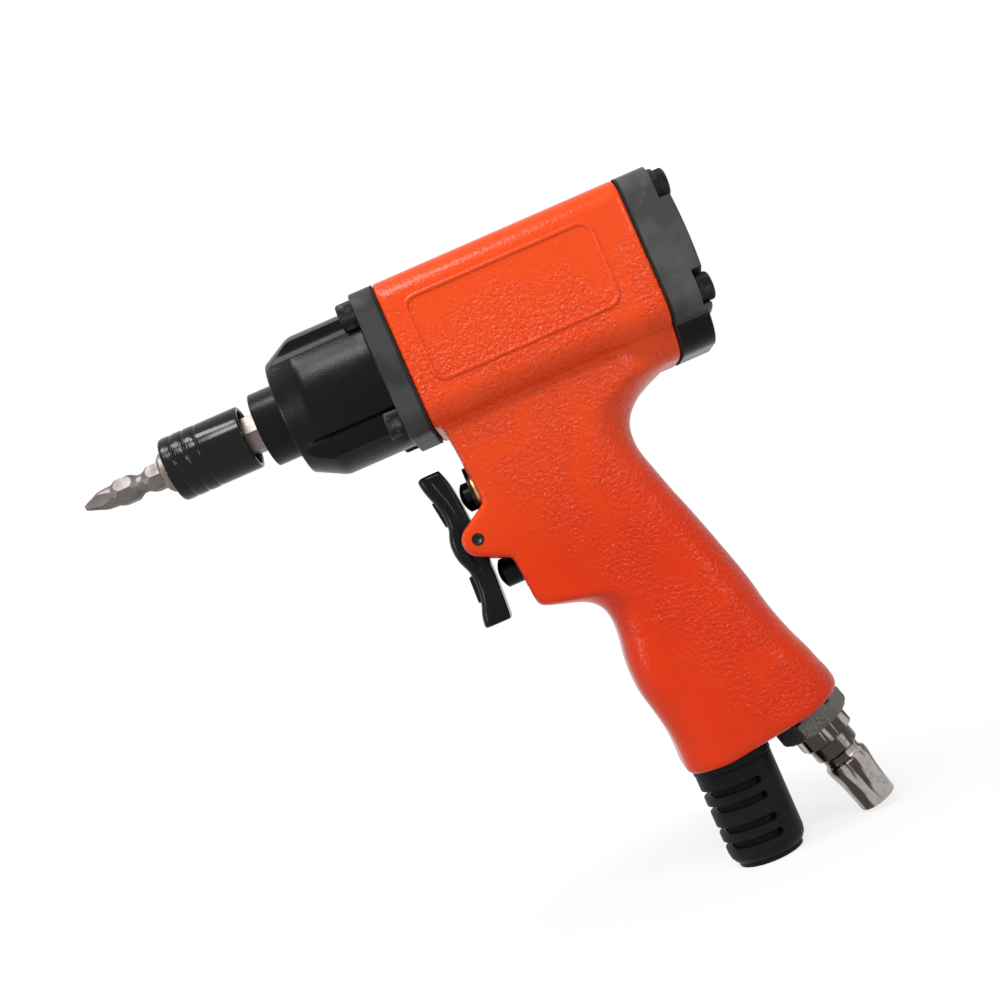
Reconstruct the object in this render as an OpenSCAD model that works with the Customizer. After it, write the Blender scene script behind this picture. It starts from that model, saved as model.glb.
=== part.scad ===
// Pneumatic impact screwdriver with a pistol grip
// The spindle lies along X with the bit in front, the left side faces +Y and the grip hangs down.
// The origin is on the spindle axis, at the mouth of the bit socket.

/* [Bit and chuck] */
// Hexagon of the bit, across flats
bit_af = 6.35; // [6.1:0.01:6.4]
// Length of the double-ended bit
bit_len = 45; // [43:0.5:48]
// How far the bit stands out of its socket
bit_out = 21.3; // [20:0.1:23]
// Diameter of the bit behind its point
bit_d = 5.4; // [5:0.1:5.8]
// Diameter of the bit's locking grooves
bit_neck_d = 4.8; // [4.6:0.1:5]
// Diameter of the chuck's steel body
chuck_d = 10.3; // [10:0.1:10.8]
// How far the chuck's body stands out of the sleeve
chuck_out = 2.4; // [1.5:0.1:3.5]
// Outer diameter of the sliding sleeve
sleeve_d = 16.4; // [15.8:0.1:18]
// Length of the sliding sleeve
sleeve_len = 21; // [20:0.5:24]
// Height of the sleeve's grip ribs
rib_h = 0.15; // [0.1:0.05:0.4]
// Diameter of the locking balls
ball_d = 2.5; // [2.2:0.1:2.6]
// How far the sleeve slides back
sleeve_travel = 3; // [2:0.1:3.2]
// Wire of the sleeve's spring
chuck_wire = 0.7; // [0.5:0.05:0.8]

/* [Hammer case] */
// Gap between the sleeve and the case's nose
nose_gap = 3.8; // [3.6:0.1:5]
// Diameter of the nose
nose_d = 19; // [18.6:0.1:21]
// Length of the nose
nose_len = 7.4; // [6:0.1:9]
// Wall of the case's barrel
barrel_wall = 3.6; // [3.4:0.1:4]
// Length of the case from the nose to the flange
case_len = 26; // [25.4:0.1:30]
// Diameter of the case's front face
case_front_d = 29; // [26:0.5:31]
// Length of the taper behind the front face
taper_len = 7.6; // [6:0.1:9]
// Thickness of the flange
flange_t = 5.5; // [5:0.1:7]
// Thickness of the gaskets
gasket_t = 0.6; // [0.4:0.1:1]

/* [Housing] */
// Wall of the body beside its bore
body_wall = 3.5; // [3.3:0.1:4]
// Wall of the body above and under its bore
roof_wall = 3.4; // [3.2:0.1:4]
// Length of the body
body_len = 62.5; // [61:0.5:70]
// Radius of the body's long edges
body_r = 6; // [5:0.1:7]
// Depth of the lobe under the body, from the spindle axis
lobe_drop = 25.8; // [25:0.1:27]
// Width of the raised line on each side
bead_w = 1; // [0.6:0.1:1.6]
// Height of the raised line
bead_h = 0.35; // [0.2:0.05:0.6]

/* [Grip] */
// Depth of the grip's end, from the spindle axis
grip_drop = 120.4; // [118:0.2:126]
// Width of the grip at its end
grip_w = 30.8; // [30:0.2:33]
// Tilt of the grip's rear end face
butt_tilt = 16.3; // [14:0.1:18]

/* [Trigger] */
// Height of the trigger's pin under the spindle axis
pin_drop = 47; // [46.6:0.1:47.4]
// How far the pin lies in front of the body's face
pin_ahead = 0.9; // [0.6:0.1:1.2]
// Diameter of the pin
pin_d = 3; // [2.8:0.1:3.2]
// Width of the trigger
trigger_w = 15; // [13:0.5:15.4]
// Length of one arm of the trigger
arm_len = 20.5; // [20:0.1:21]
// Depth of the trigger, from the pin to the finger side
trigger_t = 8.3; // [8:0.1:9]
// Thickness of each ear
ear_t = 5.4; // [4.5:0.1:5.6]
// Radius of the ear round the pin
ear_r = 4.1; // [3.8:0.1:4.5]
// Angle that the trigger rocks each way
rock_deg = 12; // [8:0.5:12]

/* [Valves] */
// Diameter of the valve buttons
button_d = 7.4; // [7:0.1:7.8]
// Height of the upper button under the spindle axis
upper_drop = 35.7; // [35.4:0.1:36]
// Height of the lower button under the spindle axis
lower_drop = 56.7; // [56.4:0.1:57]
// How far the upper button reaches in front of the body's face
upper_ahead = 1.3; // [1.2:0.1:1.4]
// How far the lower button reaches in front of the body's face
lower_ahead = 0.1; // [0:0.1:0.2]
// Radius of the buttons' domes
dome_r = 6; // [5:0.1:8]
// Outer diameter of the valve bushes
bush_d = 10; // [9.6:0.1:10.4]
// Length of the valve bushes
bush_len = 13; // [12.6:0.1:14]
// Diameter of the valve stem
stem_d = 3; // [2.8:0.1:3.2]
// Wire of the valve springs
valve_wire = 0.6; // [0.5:0.05:0.7]
// Length of a valve spring at rest
valve_spring_len = 6; // [5.8:0.1:6.4]

/* [Air motor] */
// Diameter of the rotor
rotor_d = 22.4; // [22:0.1:22.8]
// How much shorter the rotor's body is than the tool's body
rotor_short = 24.5; // [24:0.1:25.5]
// Thinnest wall of the cylinder liner
liner_wall = 0.9; // [0.8:0.1:1.2]
// How far the liner's bore lies below the spindle axis
liner_offset = 1.6; // [1.4:0.1:1.6]
// Number of vanes
vane_count = 6; // [4:1:8]
// Thickness of a vane
vane_t = 1.5; // [1.2:0.1:1.8]
// Thickness of each end plate
plate_t = 7; // [6.8:0.1:7.4]
// Inner diameter of the bearings
bearing_bore = 8; // [7.8:0.1:8.2]
// Outer diameter of the bearings
bearing_d = 16; // [15.6:0.1:16.4]
// Width of the bearings
bearing_w = 5; // [4.6:0.1:5.2]

/* [Impact mechanism] */
// Hexagon of the anvil behind the sleeve, across flats
anvil_af = 9; // [8.8:0.1:9.2]
// Diameter of the anvil's journal in the nose
journal_d = 12; // [11.8:0.1:12.4]
// Thickness of the cage's front disc
cage_front_t = 2.5; // [2.3:0.1:2.7]
// Thickness of the cage's rear disc
cage_rear_t = 4; // [3.8:0.1:4.2]
// Length of one hammer
hammer_len = 6.4; // [6:0.1:6.5]
// Gap round the hammers and round their cage
cage_play = 0.8; // [0.6:0.1:0.9]
// Outer diameter of the hammers
hammer_d = 24; // [23.6:0.1:24.2]
// Opening of the hammers
hammer_bore = 15.2; // [15:0.1:15.4]
// How far the hammer pins lie inside the hammers' edge
hammer_pin_in = 0.7; // [0.6:0.1:0.8]
// Diameter of the pins that the hammers swing on
hammer_pin_d = 3.6; // [3.4:0.1:3.8]

/* [Rear cover] */
// Thickness of the rear cover
cover_t = 10.4; // [10:0.1:12]
// Thickness of the cover under the screw heads
ledge_t = 7.3; // [7:0.1:8]
// How far the cover's back bulges
crown_h = 1.4; // [1:0.1:2]

/* [Air inlet] */
// Distance of the inlet behind the body's face, at the grip's end
inlet_back = 56.2; // [55.8:0.1:56.6]
// Tilt of the inlet's axis
inlet_tilt = 16.3; // [14:0.1:18]
// Hexagon of the adapter, across flats
adapter_af = 17; // [16.6:0.1:17.4]
// Thickness of the adapter's hexagon
adapter_t = 4.8; // [4.4:0.1:5.4]
// Diameter of the adapter's thread
adapter_d = 12.8; // [12.4:0.1:13]
// Hexagon of the plug, across flats
plug_af = 13.4; // [13:0.1:13.8]
// Diameter of the plug's bulge
plug_d = 11.9; // [11.8:0.1:12.2]
// Diameter of the plug's nose
plug_nose_d = 10.2; // [10:0.1:10.4]
// Length of the plug outside the adapter
plug_len = 24; // [23.6:0.1:26]
// Bore of the plug
plug_bore = 6; // [5:0.1:6.4]

/* [Muffler] */
// Diameter of the muffler
muffler_d = 20; // [19:0.1:20.6]
// Length of the muffler below the grip
muffler_len = 26; // [25.6:0.2:30]
// Distance of the muffler's axis behind the body's face
muffler_back = 34.6; // [34:0.1:35]
// Wall of the muffler
muffler_wall = 1.8; // [1.4:0.1:2]
// Height of each outlet slot
slot_h = 2; // [1.6:0.1:2.2]
// Arc that each slot runs round the front
slot_arc = 218; // [180:2:230]

/* [Fasteners] */
// Diameter of the cap screws
screw_d = 4; // [3.8:0.1:4.2]
// Diameter of the screw heads
head_d = 7; // [6.8:0.1:7.4]
// Height of the screw heads
head_h = 4; // [3.8:0.1:4.2]
// Distance of the screws from the body's sides
screw_in = 4.9; // [4.8:0.1:5]
// Distance of the rear screws from the body's top and bottom
rear_screw_in = 5.5; // [5:0.1:5.6]
// How deep the screws reach into the body
screw_grip = 12; // [8:0.5:14]

/* [Hidden] */
$fn = 72;

// Overrun of every cut
over = 1;
// Gap of a part that turns or slides in its bore
run_gap = 0.05;
// Gap round pieces that are assembled and stay still
seat_gap = 0.05;
// Gap between pieces that pass each other
clear_gap = 0.4;

// The rotor's length and the widths that follow from the motor and the hammers
rotor_len = body_len - rotor_short;
liner_bore = rotor_d + 2 * liner_offset + clear_gap;
body_bore = liner_bore + 2 * liner_offset + 2 * liner_wall;
body_w = body_bore + 2 * body_wall;
body_h = body_bore + 2 * roof_wall;
cage_wall = 1.2;
cage_d = hammer_d + 2 * cage_wall + 2 * cage_play;
case_bore = cage_d + 2 * cage_play;
barrel_d = case_bore + 2 * barrel_wall;
hammer_pin_r = hammer_d / 2 - hammer_pin_in;
screw_off = body_w / 2 - screw_in;
front_screw_off = body_h / 2 - screw_in;
rear_screw_off = body_h / 2 - rear_screw_in;

// Places along the spindle, from the socket's mouth back
sleeve_front_x = -chuck_out;
sleeve_rear_x = sleeve_front_x - sleeve_len;
nose_front_x = sleeve_rear_x - nose_gap;
case_front_x = nose_front_x - nose_len;
flange_front_x = case_front_x - case_len;
flange_rear_x = flange_front_x - flange_t;
face_x = flange_rear_x - gasket_t;
rear_x = face_x - body_len;
cover_front_x = rear_x - gasket_t;
cover_rear_x = cover_front_x - cover_t;
ledge_x = cover_front_x - ledge_t;

// Colours
orange = [0.9, 0.25, 0.09];
black = [0.1, 0.1, 0.11];
dark = [0.2, 0.2, 0.21];
steel = [0.72, 0.7, 0.68];
grey_steel = [0.45, 0.45, 0.46];
brass = [0.8, 0.62, 0.25];
felt = [0.55, 0.5, 0.42];

// Straight round rod along X, from x back by len
module rod(x, len, d) {
    translate([x - len, 0, 0]) rotate([0, 90, 0]) cylinder(h = len, d = d);
}

// Hexagonal rod along X, from x back by len
module hex_rod(x, len, af, turn = 0) {
    translate([x - len, 0, 0]) rotate([turn, 0, 0]) rotate([0, 90, 0])
        cylinder(h = len, r = af / sqrt(3), $fn = 6);
}

// Solid turned about the spindle from [x, radius] points
module turned(outline) {
    rotate([0, 90, 0]) rotate_extrude() polygon([for (p = outline) [p[1], p[0]]]);
}

// Flat outline in Y and Z, extruded from x back by len
module plate_x(x, len) {
    translate([x - len, 0, 0]) rotate([90, 0, 90]) linear_extrude(len) children();
}

// Flat outline in X and Z, extruded evenly to both sides of the middle
module plate_y(len) {
    rotate([90, 0, 0]) linear_extrude(len, center = true) children();
}

// Rectangle with true round corners
module round_rect(w, h, r) {
    square([w - 2 * r, h], center = true);
    square([w, h - 2 * r], center = true);
    for (y = [-1, 1], z = [-1, 1]) translate([y * (w / 2 - r), z * (h / 2 - r)]) circle(r);
}

// A copy of the child at each corner of a rectangle in Y and Z
module at_corners(dy, dz) {
    for (y = [-dy, dy], z = [-dz, dz]) translate([0, y, z]) children();
}

// Closed solid through rings of points that all have the same count
module skin(rings) {
    n = len(rings[0]);
    m = len(rings);
    first = [for (k = [0:2]) vsum([for (p = rings[0]) p[k]]) / n];
    last = [for (k = [0:2]) vsum([for (p = rings[m - 1]) p[k]]) / n];
    polyhedron(
        points = [for (r = rings) each r, first, last],
        faces = concat(
            [for (i = [0:m - 2], j = [0:n - 1]) let (k = (j + 1) % n)
                each [[i * n + j, i * n + k, (i + 1) * n + k],
                    [i * n + j, (i + 1) * n + k, (i + 1) * n + j]]],
            [for (j = [0:n - 1]) [m * n, (j + 1) % n, j]],
            [for (j = [0:n - 1]) [m * n + 1, (m - 1) * n + j, (m - 1) * n + (j + 1) % n]]
        )
    );
}
function vsum(v) = v * [for (i = v) 1];

// Plan ring with two front and two rear corner radii, lifted by slope behind x_bend
corner_steps = 5;
function plan_ring(z, front, rear, half, front_r, rear_r, slope = 0, x_bend = 0) = [
    for (c = [
        [front - front_r, half - front_r, front_r, 0],
        [rear + rear_r, half - rear_r, rear_r, 90],
        [rear + rear_r, rear_r - half, rear_r, 180],
        [front - front_r, front_r - half, front_r, 270]
    ], i = [0:corner_steps])
        let (
            a = c[3] + 90 * i / corner_steps,
            x = c[0] + c[2] * cos(a)
        )
            [x, c[1] + c[2] * sin(a), z + slope * max(0, x_bend - x)]
];

// Unbroken spring wire along X: six sides, eight rings a curl
coil_rings = 8;
function coil_centre(x, len, r, curls, i) =
    let (a = 360 * i / coil_rings)
        [x - len * i / (curls * coil_rings), r * cos(a), r * sin(a)];
module coil(x, len, r, wire, curls) {
    count = curls * coil_rings;
    skin([for (i = [0:count])
        let (c = coil_centre(x - wire / 2, len - wire, r, curls, i), a = 360 * i / coil_rings)
            [for (k = [0:5]) let (b = -60 * k)
                c + wire / 2 * [sin(b), cos(b) * cos(a), cos(b) * sin(a)]]]);
    // Least gap between neighbouring curls, measured from ring centre to ring centre
    echo(least_gap = min([for (i = [0:count - coil_rings], j = [-1:1])
        i + coil_rings + j > count ? len :
        norm(coil_centre(x, len - wire, r, curls, i + coil_rings + j)
            - coil_centre(x, len - wire, r, curls, i))]) - wire);
}

// Bit: a cross point, a hexagon and a locking groove at each end
bit_front_x = bit_out;
bit_rear_x = bit_front_x - bit_len;
bit_mid_x = (bit_front_x + bit_rear_x) / 2;
bit_point_len = 0.75 * bit_d;
bit_shaft_len = 1.6 * bit_d;
bit_hex_len = 0.85 * bit_af;
groove_len = 0.52 * bit_af;
// Middle of each locking groove, from the end of the bit
groove_mid = bit_shaft_len + bit_hex_len + groove_len / 2;
groove_x = bit_rear_x + groove_mid;
hex_slope = (bit_af / sqrt(3) - bit_neck_d / 2) / 1.2;
module bit_half() {
    r = bit_d / 2;
    hex_r = bit_af / sqrt(3);
    neck_r = bit_neck_d / 2;
    x0 = bit_len / 2;
    x1 = x0 - bit_shaft_len;
    x2 = x1 - bit_hex_len;
    x3 = x2 - groove_len;
    intersection() {
        turned([
            [0, 0], [0, hex_r], [x3 - hex_slope, hex_r], [x3, neck_r], [x2, neck_r],
            [x2 + hex_slope, hex_r], [x1 - hex_slope, hex_r], [x1, r],
            [x0 - bit_point_len, r], [x0 - 0.12 * r, 0.36 * r], [x0, 0.2 * r], [x0, 0]
        ]);
        hex_rod(x0, x0, bit_af, 30);
    }
}
module driver_bit() color(steel)
    translate([bit_mid_x, 0, 0]) for (side = [0, 180]) rotate([0, side, 0])
        difference() {
            bit_half();
            bit_flutes();
        }
// Round-bottomed flutes of the cross point, running out on the shaft
flute_tilt = 14;
flute_r = 0.5 * bit_d;
module bit_flutes() {
    for (a = [45:90:315]) rotate([a, 0, 0])
        translate([bit_len / 2, 0, 0.16 * bit_d]) rotate([0, flute_tilt - 90, 0])
            translate([flute_r, 0, -over]) cylinder(h = bit_shaft_len + 2 * over, r = flute_r);
}

// Chuck places
socket_af = bit_af + 2 * run_gap;
ball_x = groove_x;
ball_r = ball_d / 2;
ball_off = bit_neck_d / 2 + run_gap + ball_r;
ring_t = 0.8;
ring_rear_x = ball_x + 1.35 * ball_r;
recess_rear_x = ring_rear_x;
web_rear_x = ball_x - ball_r - 1.8 * ball_r;
clip_t = 1;
clip_x = sleeve_rear_x + sleeve_travel + clip_t;
chuck_rear_x = clip_x - 2 * clip_t;
ring_groove_d = 0.92 * chuck_d;
skirt_wall = 1.2;
skirt_bore = sleeve_d - 2 * skirt_wall;
clip_d = skirt_bore - 2 * clear_gap;
recess_d = 0.78 * sleeve_d;
stop_d = recess_d - clear_gap;

// Case places
case_wall = 3;
cavity_front_x = case_front_x - case_wall;
bush_wall = 2;
case_mouth_d = journal_d + 2 * bush_wall;
seal_t = 1;
bush_front_x = nose_front_x - 1.4 * seal_t;
washer_t = 1;
shoulder_x = cavity_front_x - washer_t - run_gap;
shoulder_t = 1.5;
shoulder_d = 1.35 * journal_d;
cage_front_x = shoulder_x - shoulder_t - clear_gap;
front_hammer_x = cage_front_x - cage_front_t - clear_gap;
rear_hammer_x = front_hammer_x - hammer_len - clear_gap;
cage_rear_disc_x = rear_hammer_x - hammer_len - clear_gap;
hub_len = 3.4;
hub_d = 14;
cage_rear_x = cage_rear_disc_x - cage_rear_t - hub_len;
pilot_d = 6.8;
pilot_len = 2.4;
drive_af = 6.6;
lobe_d = 13;
lobe_arc = 36;
anvil_core_d = 9.2;

// Anvil: socket, ball holes, ring grooves, hexagon, journal, shoulder, striking lobes and pilot
module anvil() color(steel) difference() {
    union() {
        turned([
            [0, 0], [0, 0.42 * chuck_d], [-0.08 * chuck_d, chuck_d / 2],
            [chuck_rear_x, chuck_d / 2], [chuck_rear_x, 0]
        ]);
        hex_rod(chuck_rear_x, chuck_rear_x - nose_front_x, anvil_af, 30);
        turned([
            [nose_front_x, 0], [nose_front_x, journal_d / 2], [shoulder_x, journal_d / 2],
            [shoulder_x, shoulder_d / 2], [shoulder_x - shoulder_t, shoulder_d / 2],
            [shoulder_x - shoulder_t, journal_d / 2], [front_hammer_x + clear_gap / 2, journal_d / 2],
            [front_hammer_x + clear_gap / 2, anvil_core_d / 2],
            [cage_rear_disc_x + clear_gap / 2, anvil_core_d / 2],
            [cage_rear_disc_x + clear_gap / 2, pilot_d / 2],
            [cage_rear_disc_x - pilot_len, pilot_d / 2], [cage_rear_disc_x - pilot_len, 0]
        ]);
        striking_lobe(front_hammer_x, 0);
        striking_lobe(rear_hammer_x, 180);
    }
    hex_rod(over, over - bit_rear_x - bit_shaft_len + bit_neck_d / 8, socket_af, 30);
    rod(over, over - bit_rear_x + bit_neck_d / 8, bit_d + 2 * run_gap);
    turned([
        [over, 0], [over, socket_af / sqrt(3) + over], [0, socket_af / sqrt(3)],
        [-socket_af / 8, 0]
    ]);
    ball_holes();
    ring_groove(ring_rear_x, ring_t);
    ring_groove(clip_x - clip_t, clip_t);
}
module striking_lobe(x, turn) {
    rotate([turn, 0, 0]) plate_x(x - clear_gap / 4, hammer_len - clear_gap / 2)
        intersection() {
            circle(d = lobe_d);
            polygon([[0, 0], lobe_d * [-sin(lobe_arc / 2), cos(lobe_arc / 2)],
                lobe_d * [sin(lobe_arc / 2), cos(lobe_arc / 2)]]);
        }
}
module ball_holes() {
    for (a = [0, 180]) rotate([a, 0, 0]) translate([ball_x, 0, bit_neck_d / 2])
        cylinder(h = chuck_d, d = ball_d + 2 * run_gap);
}
module ring_groove(x, t) {
    turned([
        [x - seat_gap, ring_groove_d / 2], [x - seat_gap, chuck_d], [x + t + seat_gap, chuck_d],
        [x + t + seat_gap, ring_groove_d / 2]
    ]);
}
module locking_balls() color(steel)
    for (z = [-1, 1]) translate([ball_x, 0, z * ball_off]) sphere(d = ball_d);

// Open ring that sits in a groove of the chuck
module open_ring(x, t, d) {
    difference() {
        turned([
            [x, ring_groove_d / 2 + seat_gap], [x, d / 2], [x + t, d / 2],
            [x + t, ring_groove_d / 2 + seat_gap]
        ]);
        translate([x - over, 0, -ring_groove_d / 6]) cube([t + 2 * over, d, ring_groove_d / 3]);
    }
}
module sleeve_stop_ring() color(grey_steel) open_ring(ring_rear_x, ring_t, stop_d);
module spring_clip() color(grey_steel) open_ring(clip_x - clip_t, clip_t, clip_d);
module chuck_spring() color(steel)
    coil(web_rear_x, web_rear_x - clip_x, (chuck_d + skirt_bore) / 4, chuck_wire, 3);

// Sleeve with three grip ribs, an inner land over the balls and a hollow skirt behind
rib_pitch = 0.145 * sleeve_len;
rib_start = 0.14 * sleeve_len;
groove_w = 0.22 * rib_pitch;
module chuck_sleeve() color(black) difference() {
    turned([
        [sleeve_front_x, recess_d / 2], [sleeve_front_x, 0.455 * sleeve_d],
        [sleeve_front_x - 0.012 * sleeve_len, 0.485 * sleeve_d],
        [sleeve_front_x - 0.035 * sleeve_len, sleeve_d / 2 + rib_h],
        for (i = [0:2]) let (x = sleeve_front_x - rib_start - i * rib_pitch) each [
            [x, sleeve_d / 2 + rib_h], [x - groove_w, sleeve_d / 2 - rib_h],
            [x - 2 * groove_w, sleeve_d / 2 - rib_h], [x - 3 * groove_w, sleeve_d / 2 + rib_h]
        ],
        [sleeve_front_x - rib_start - 2.8 * rib_pitch, sleeve_d / 2],
        [sleeve_rear_x + 0.02 * sleeve_len, sleeve_d / 2],
        [sleeve_rear_x, sleeve_d / 2 - skirt_wall / 3],
        [sleeve_rear_x, skirt_bore / 2 + skirt_wall / 3],
        [sleeve_rear_x + 0.02 * sleeve_len, skirt_bore / 2],
        [web_rear_x, skirt_bore / 2], [web_rear_x, chuck_d / 2 + run_gap],
        [recess_rear_x, chuck_d / 2 + run_gap], [recess_rear_x, recess_d / 2]
    ]);
}

// Hammer case: nose, tapered barrel with a channel in front of each screw, and a square flange
channel_d = 1.12 * head_d;
edge = 0.8;
module hammer_case() color(black) difference() {
    union() {
        turned([
            [nose_front_x, 0], [nose_front_x, nose_d / 2 - edge], [nose_front_x - edge, nose_d / 2],
            [case_front_x, nose_d / 2], [case_front_x, case_front_d / 2 - edge],
            [case_front_x - edge, case_front_d / 2],
            [case_front_x - taper_len, barrel_d / 2], [flange_front_x, barrel_d / 2],
            [flange_front_x, 0]
        ]);
        plate_x(flange_front_x, flange_t) round_rect(body_w, body_h, body_r);
    }
    at_corners(screw_off, front_screw_off) {
        rod(case_front_x + over, over + case_len, channel_d);
        rod(flange_front_x + over, flange_t + 2 * over, screw_d + 2 * seat_gap);
    }
    rod(cavity_front_x, cavity_front_x - flange_rear_x + over, case_bore);
    rod(nose_front_x + over, nose_front_x - cavity_front_x + 2 * over, case_mouth_d + 2 * seat_gap);
}
module anvil_bush() color(brass) difference() {
    rod(bush_front_x, bush_front_x - cavity_front_x, case_mouth_d);
    rod(bush_front_x + over, bush_front_x - cavity_front_x + 2 * over, journal_d + 2 * run_gap);
}
module nose_seal() color(black) difference() {
    rod(nose_front_x, seal_t, case_mouth_d);
    rod(nose_front_x + over, seal_t + 2 * over, journal_d + clear_gap);
}
module thrust_washer() color(brass) difference() {
    rod(cavity_front_x, washer_t, 0.95 * case_bore);
    rod(cavity_front_x + over, washer_t + 2 * over, journal_d + clear_gap);
}
module case_gasket() color(dark) gasket(flange_rear_x, front_screw_off) round_rect(body_w, body_h, body_r);
module gasket(x, dz) {
    difference() {
        plate_x(x, gasket_t) children();
        rod(x + over, gasket_t + 2 * over, body_bore);
        at_corners(screw_off, dz) rod(x + over, gasket_t + 2 * over, screw_d + 2 * seat_gap);
    }
}

// Socket-head cap screw along X: its head's underside at x, pointing back if side is 1
socket_key = 3;
module cap_screw(x, len, side) {
    translate([x, 0, 0]) mirror([side > 0 ? 0 : 1, 0, 0]) difference() {
        union() {
            turned([
                [0, 0], [0, head_d / 2], [head_h - head_h / 12, head_d / 2],
                [head_h, head_d / 2 - head_h / 12], [head_h, 0]
            ]);
            rod(0, len, screw_d);
        }
        hex_rod(head_h + over, head_h / 2 + over, socket_key);
    }
}
module front_screws() color(black) at_corners(screw_off, front_screw_off)
    cap_screw(flange_front_x, flange_t + gasket_t + screw_grip, 1);
module rear_screws() color(black) at_corners(screw_off, rear_screw_off)
    cap_screw(ledge_x, ledge_t + gasket_t + screw_grip, -1);

// Impact mechanism
wall_arc = 40;
pin_front_x = cage_front_x;
pin_rear_x = cage_rear_disc_x - 0.7 * cage_rear_t;
module hammer_cage() color(grey_steel) difference() {
    union() {
        rod(cage_front_x, cage_front_x - cage_rear_disc_x + cage_rear_t, cage_d);
        rod(cage_rear_disc_x - cage_rear_t, hub_len, hub_d);
    }
    difference() {
        rod(cage_front_x - cage_front_t, cage_front_x - cage_front_t - cage_rear_disc_x,
            cage_d + 2 * over);
        cage_bridge(0);
        cage_bridge(180);
    }
    rod(cage_front_x + over, cage_front_t + 2 * over, journal_d + 2 * clear_gap);
    rod(cage_rear_disc_x + over, over + pilot_len + clear_gap, pilot_d + 2 * run_gap);
    hex_rod(cage_rear_disc_x - pilot_len, cage_rear_t + hub_len, drive_af + 4 * run_gap);
    hammer_pin_holes();
}
module cage_bridge(turn) {
    rotate([turn, 0, 0]) plate_x(cage_front_x, cage_front_x - cage_rear_disc_x + over) intersection() {
        difference() {
            circle(d = cage_d);
            circle(d = cage_d - 2 * cage_wall);
        }
        polygon([[0, 0], cage_d * [-sin(wall_arc), cos(wall_arc)],
            cage_d * [sin(wall_arc), cos(wall_arc)]]);
    }
}
module hammer_pin_holes() {
    for (z = [-1, 1]) translate([0, 0, z * hammer_pin_r])
        rod(pin_front_x + over, over + pin_front_x - pin_rear_x + seat_gap, hammer_pin_d + 2 * seat_gap);
}
module hammer_pins() color(steel)
    for (z = [-1, 1]) translate([0, 0, z * hammer_pin_r])
        rod(pin_front_x, pin_front_x - pin_rear_x, hammer_pin_d);
dog_d = 11.2;
dog_arc = 36;
swing_deg = 3.5;
swing_slot_w = hammer_pin_d + 2 * (2 * hammer_pin_r * sin(swing_deg) + clear_gap);
module hammer(x, turn) {
    rotate([turn, 0, 0]) difference() {
        rod(x, hammer_len, hammer_d);
        plate_x(x + over, hammer_len + 2 * over) difference() {
            circle(d = hammer_bore);
            difference() {
                polygon([[0, 0], hammer_bore * [cos(dog_arc / 2), -sin(dog_arc / 2)],
                    hammer_bore * [cos(dog_arc / 2), sin(dog_arc / 2)]]);
                circle(d = dog_d);
            }
        }
        translate([0, 0, hammer_pin_r]) rod(x + over, hammer_len + 2 * over, hammer_pin_d + 2 * run_gap);
        translate([x - hammer_len - over, -swing_slot_w / 2, -hammer_d])
            cube([hammer_len + 2 * over, swing_slot_w,
                hammer_d - hammer_pin_r + hammer_pin_d / 2 + clear_gap]);
    }
}
module front_hammer() color(grey_steel) hammer(front_hammer_x, 0);
module rear_hammer() color(grey_steel) hammer(rear_hammer_x, 180);

// Air motor
plate_front_x = face_x - clear_gap;
liner_front_x = plate_front_x - plate_t;
liner_len = rotor_len + clear_gap;
liner_rear_x = liner_front_x - liner_len;
motor_rear_x = liner_rear_x - plate_t;
motor_d = body_bore - 2 * seat_gap;
shaft_d = bearing_bore - 2 * run_gap;
liner_pin_d = 2;
liner_pin_r = (liner_bore / 2 - liner_offset + motor_d / 2) / 2;
liner_pin_depth = 1.8;
module liner_pin_hole(x, len) {
    translate([0, 0, liner_pin_r]) rod(x, len, liner_pin_d + 2 * seat_gap);
}
port_count = 5;
port_d = 3;
module cylinder_liner() color(steel) difference() {
    rod(liner_front_x, liner_len, motor_d);
    translate([0, 0, -liner_offset]) rod(liner_front_x + over, liner_len + 2 * over, liner_bore);
    liner_pin_hole(liner_front_x + over, liner_len + 2 * over);
    for (i = [1:port_count], y = [-1, 1])
        translate([liner_front_x - i * liner_len / (port_count + 1), 0, 0]) rotate([y * 125, 0, 0])
            cylinder(h = motor_d, d = port_d);
}
module liner_pin() color(grey_steel) translate([0, 0, liner_pin_r])
    rod(liner_front_x + liner_pin_depth, liner_len + 2 * liner_pin_depth, liner_pin_d);
module end_plate(x, side) {
    translate([x, 0, 0]) mirror([side > 0 ? 0 : 1, 0, 0]) difference() {
        rod(0, plate_t, motor_d);
        rod(over, over + bearing_w, bearing_d + 2 * seat_gap);
        rod(over, plate_t + 2 * over, shaft_d + 4 * clear_gap);
        liner_pin_hole(-plate_t + liner_pin_depth + seat_gap, liner_pin_depth + seat_gap + over);
    }
}
module front_end_plate() color(grey_steel) end_plate(plate_front_x, 1);
module rear_end_plate() color(grey_steel) end_plate(motor_rear_x, -1);

// Ball bearings
race_ball_d = 2;
race_mid_d = (bearing_bore + bearing_d) / 2;
race_gap = 0.25;
race_space = 2.6;
race_ring_t = (bearing_d - bearing_bore) / 2 - race_space;
ball_count = 8;
bearing_xs = [plate_front_x, motor_rear_x + bearing_w];
module bearing_ring(x, inner_d, outer_d) {
    difference() {
        rod(x, bearing_w, outer_d);
        rod(x + over, bearing_w + 2 * over, inner_d);
        translate([x - bearing_w / 2, 0, 0]) rotate([0, 90, 0]) rotate_extrude()
            translate([race_mid_d / 2, 0]) circle(d = race_ball_d + 2 * race_gap);
    }
}
module bearing_outer_rings() color(steel)
    for (x = bearing_xs) bearing_ring(x, bearing_d - race_ring_t * 2, bearing_d);
module bearing_inner_rings() color(steel)
    for (x = bearing_xs) bearing_ring(x, bearing_bore, bearing_bore + race_ring_t * 2);
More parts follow.
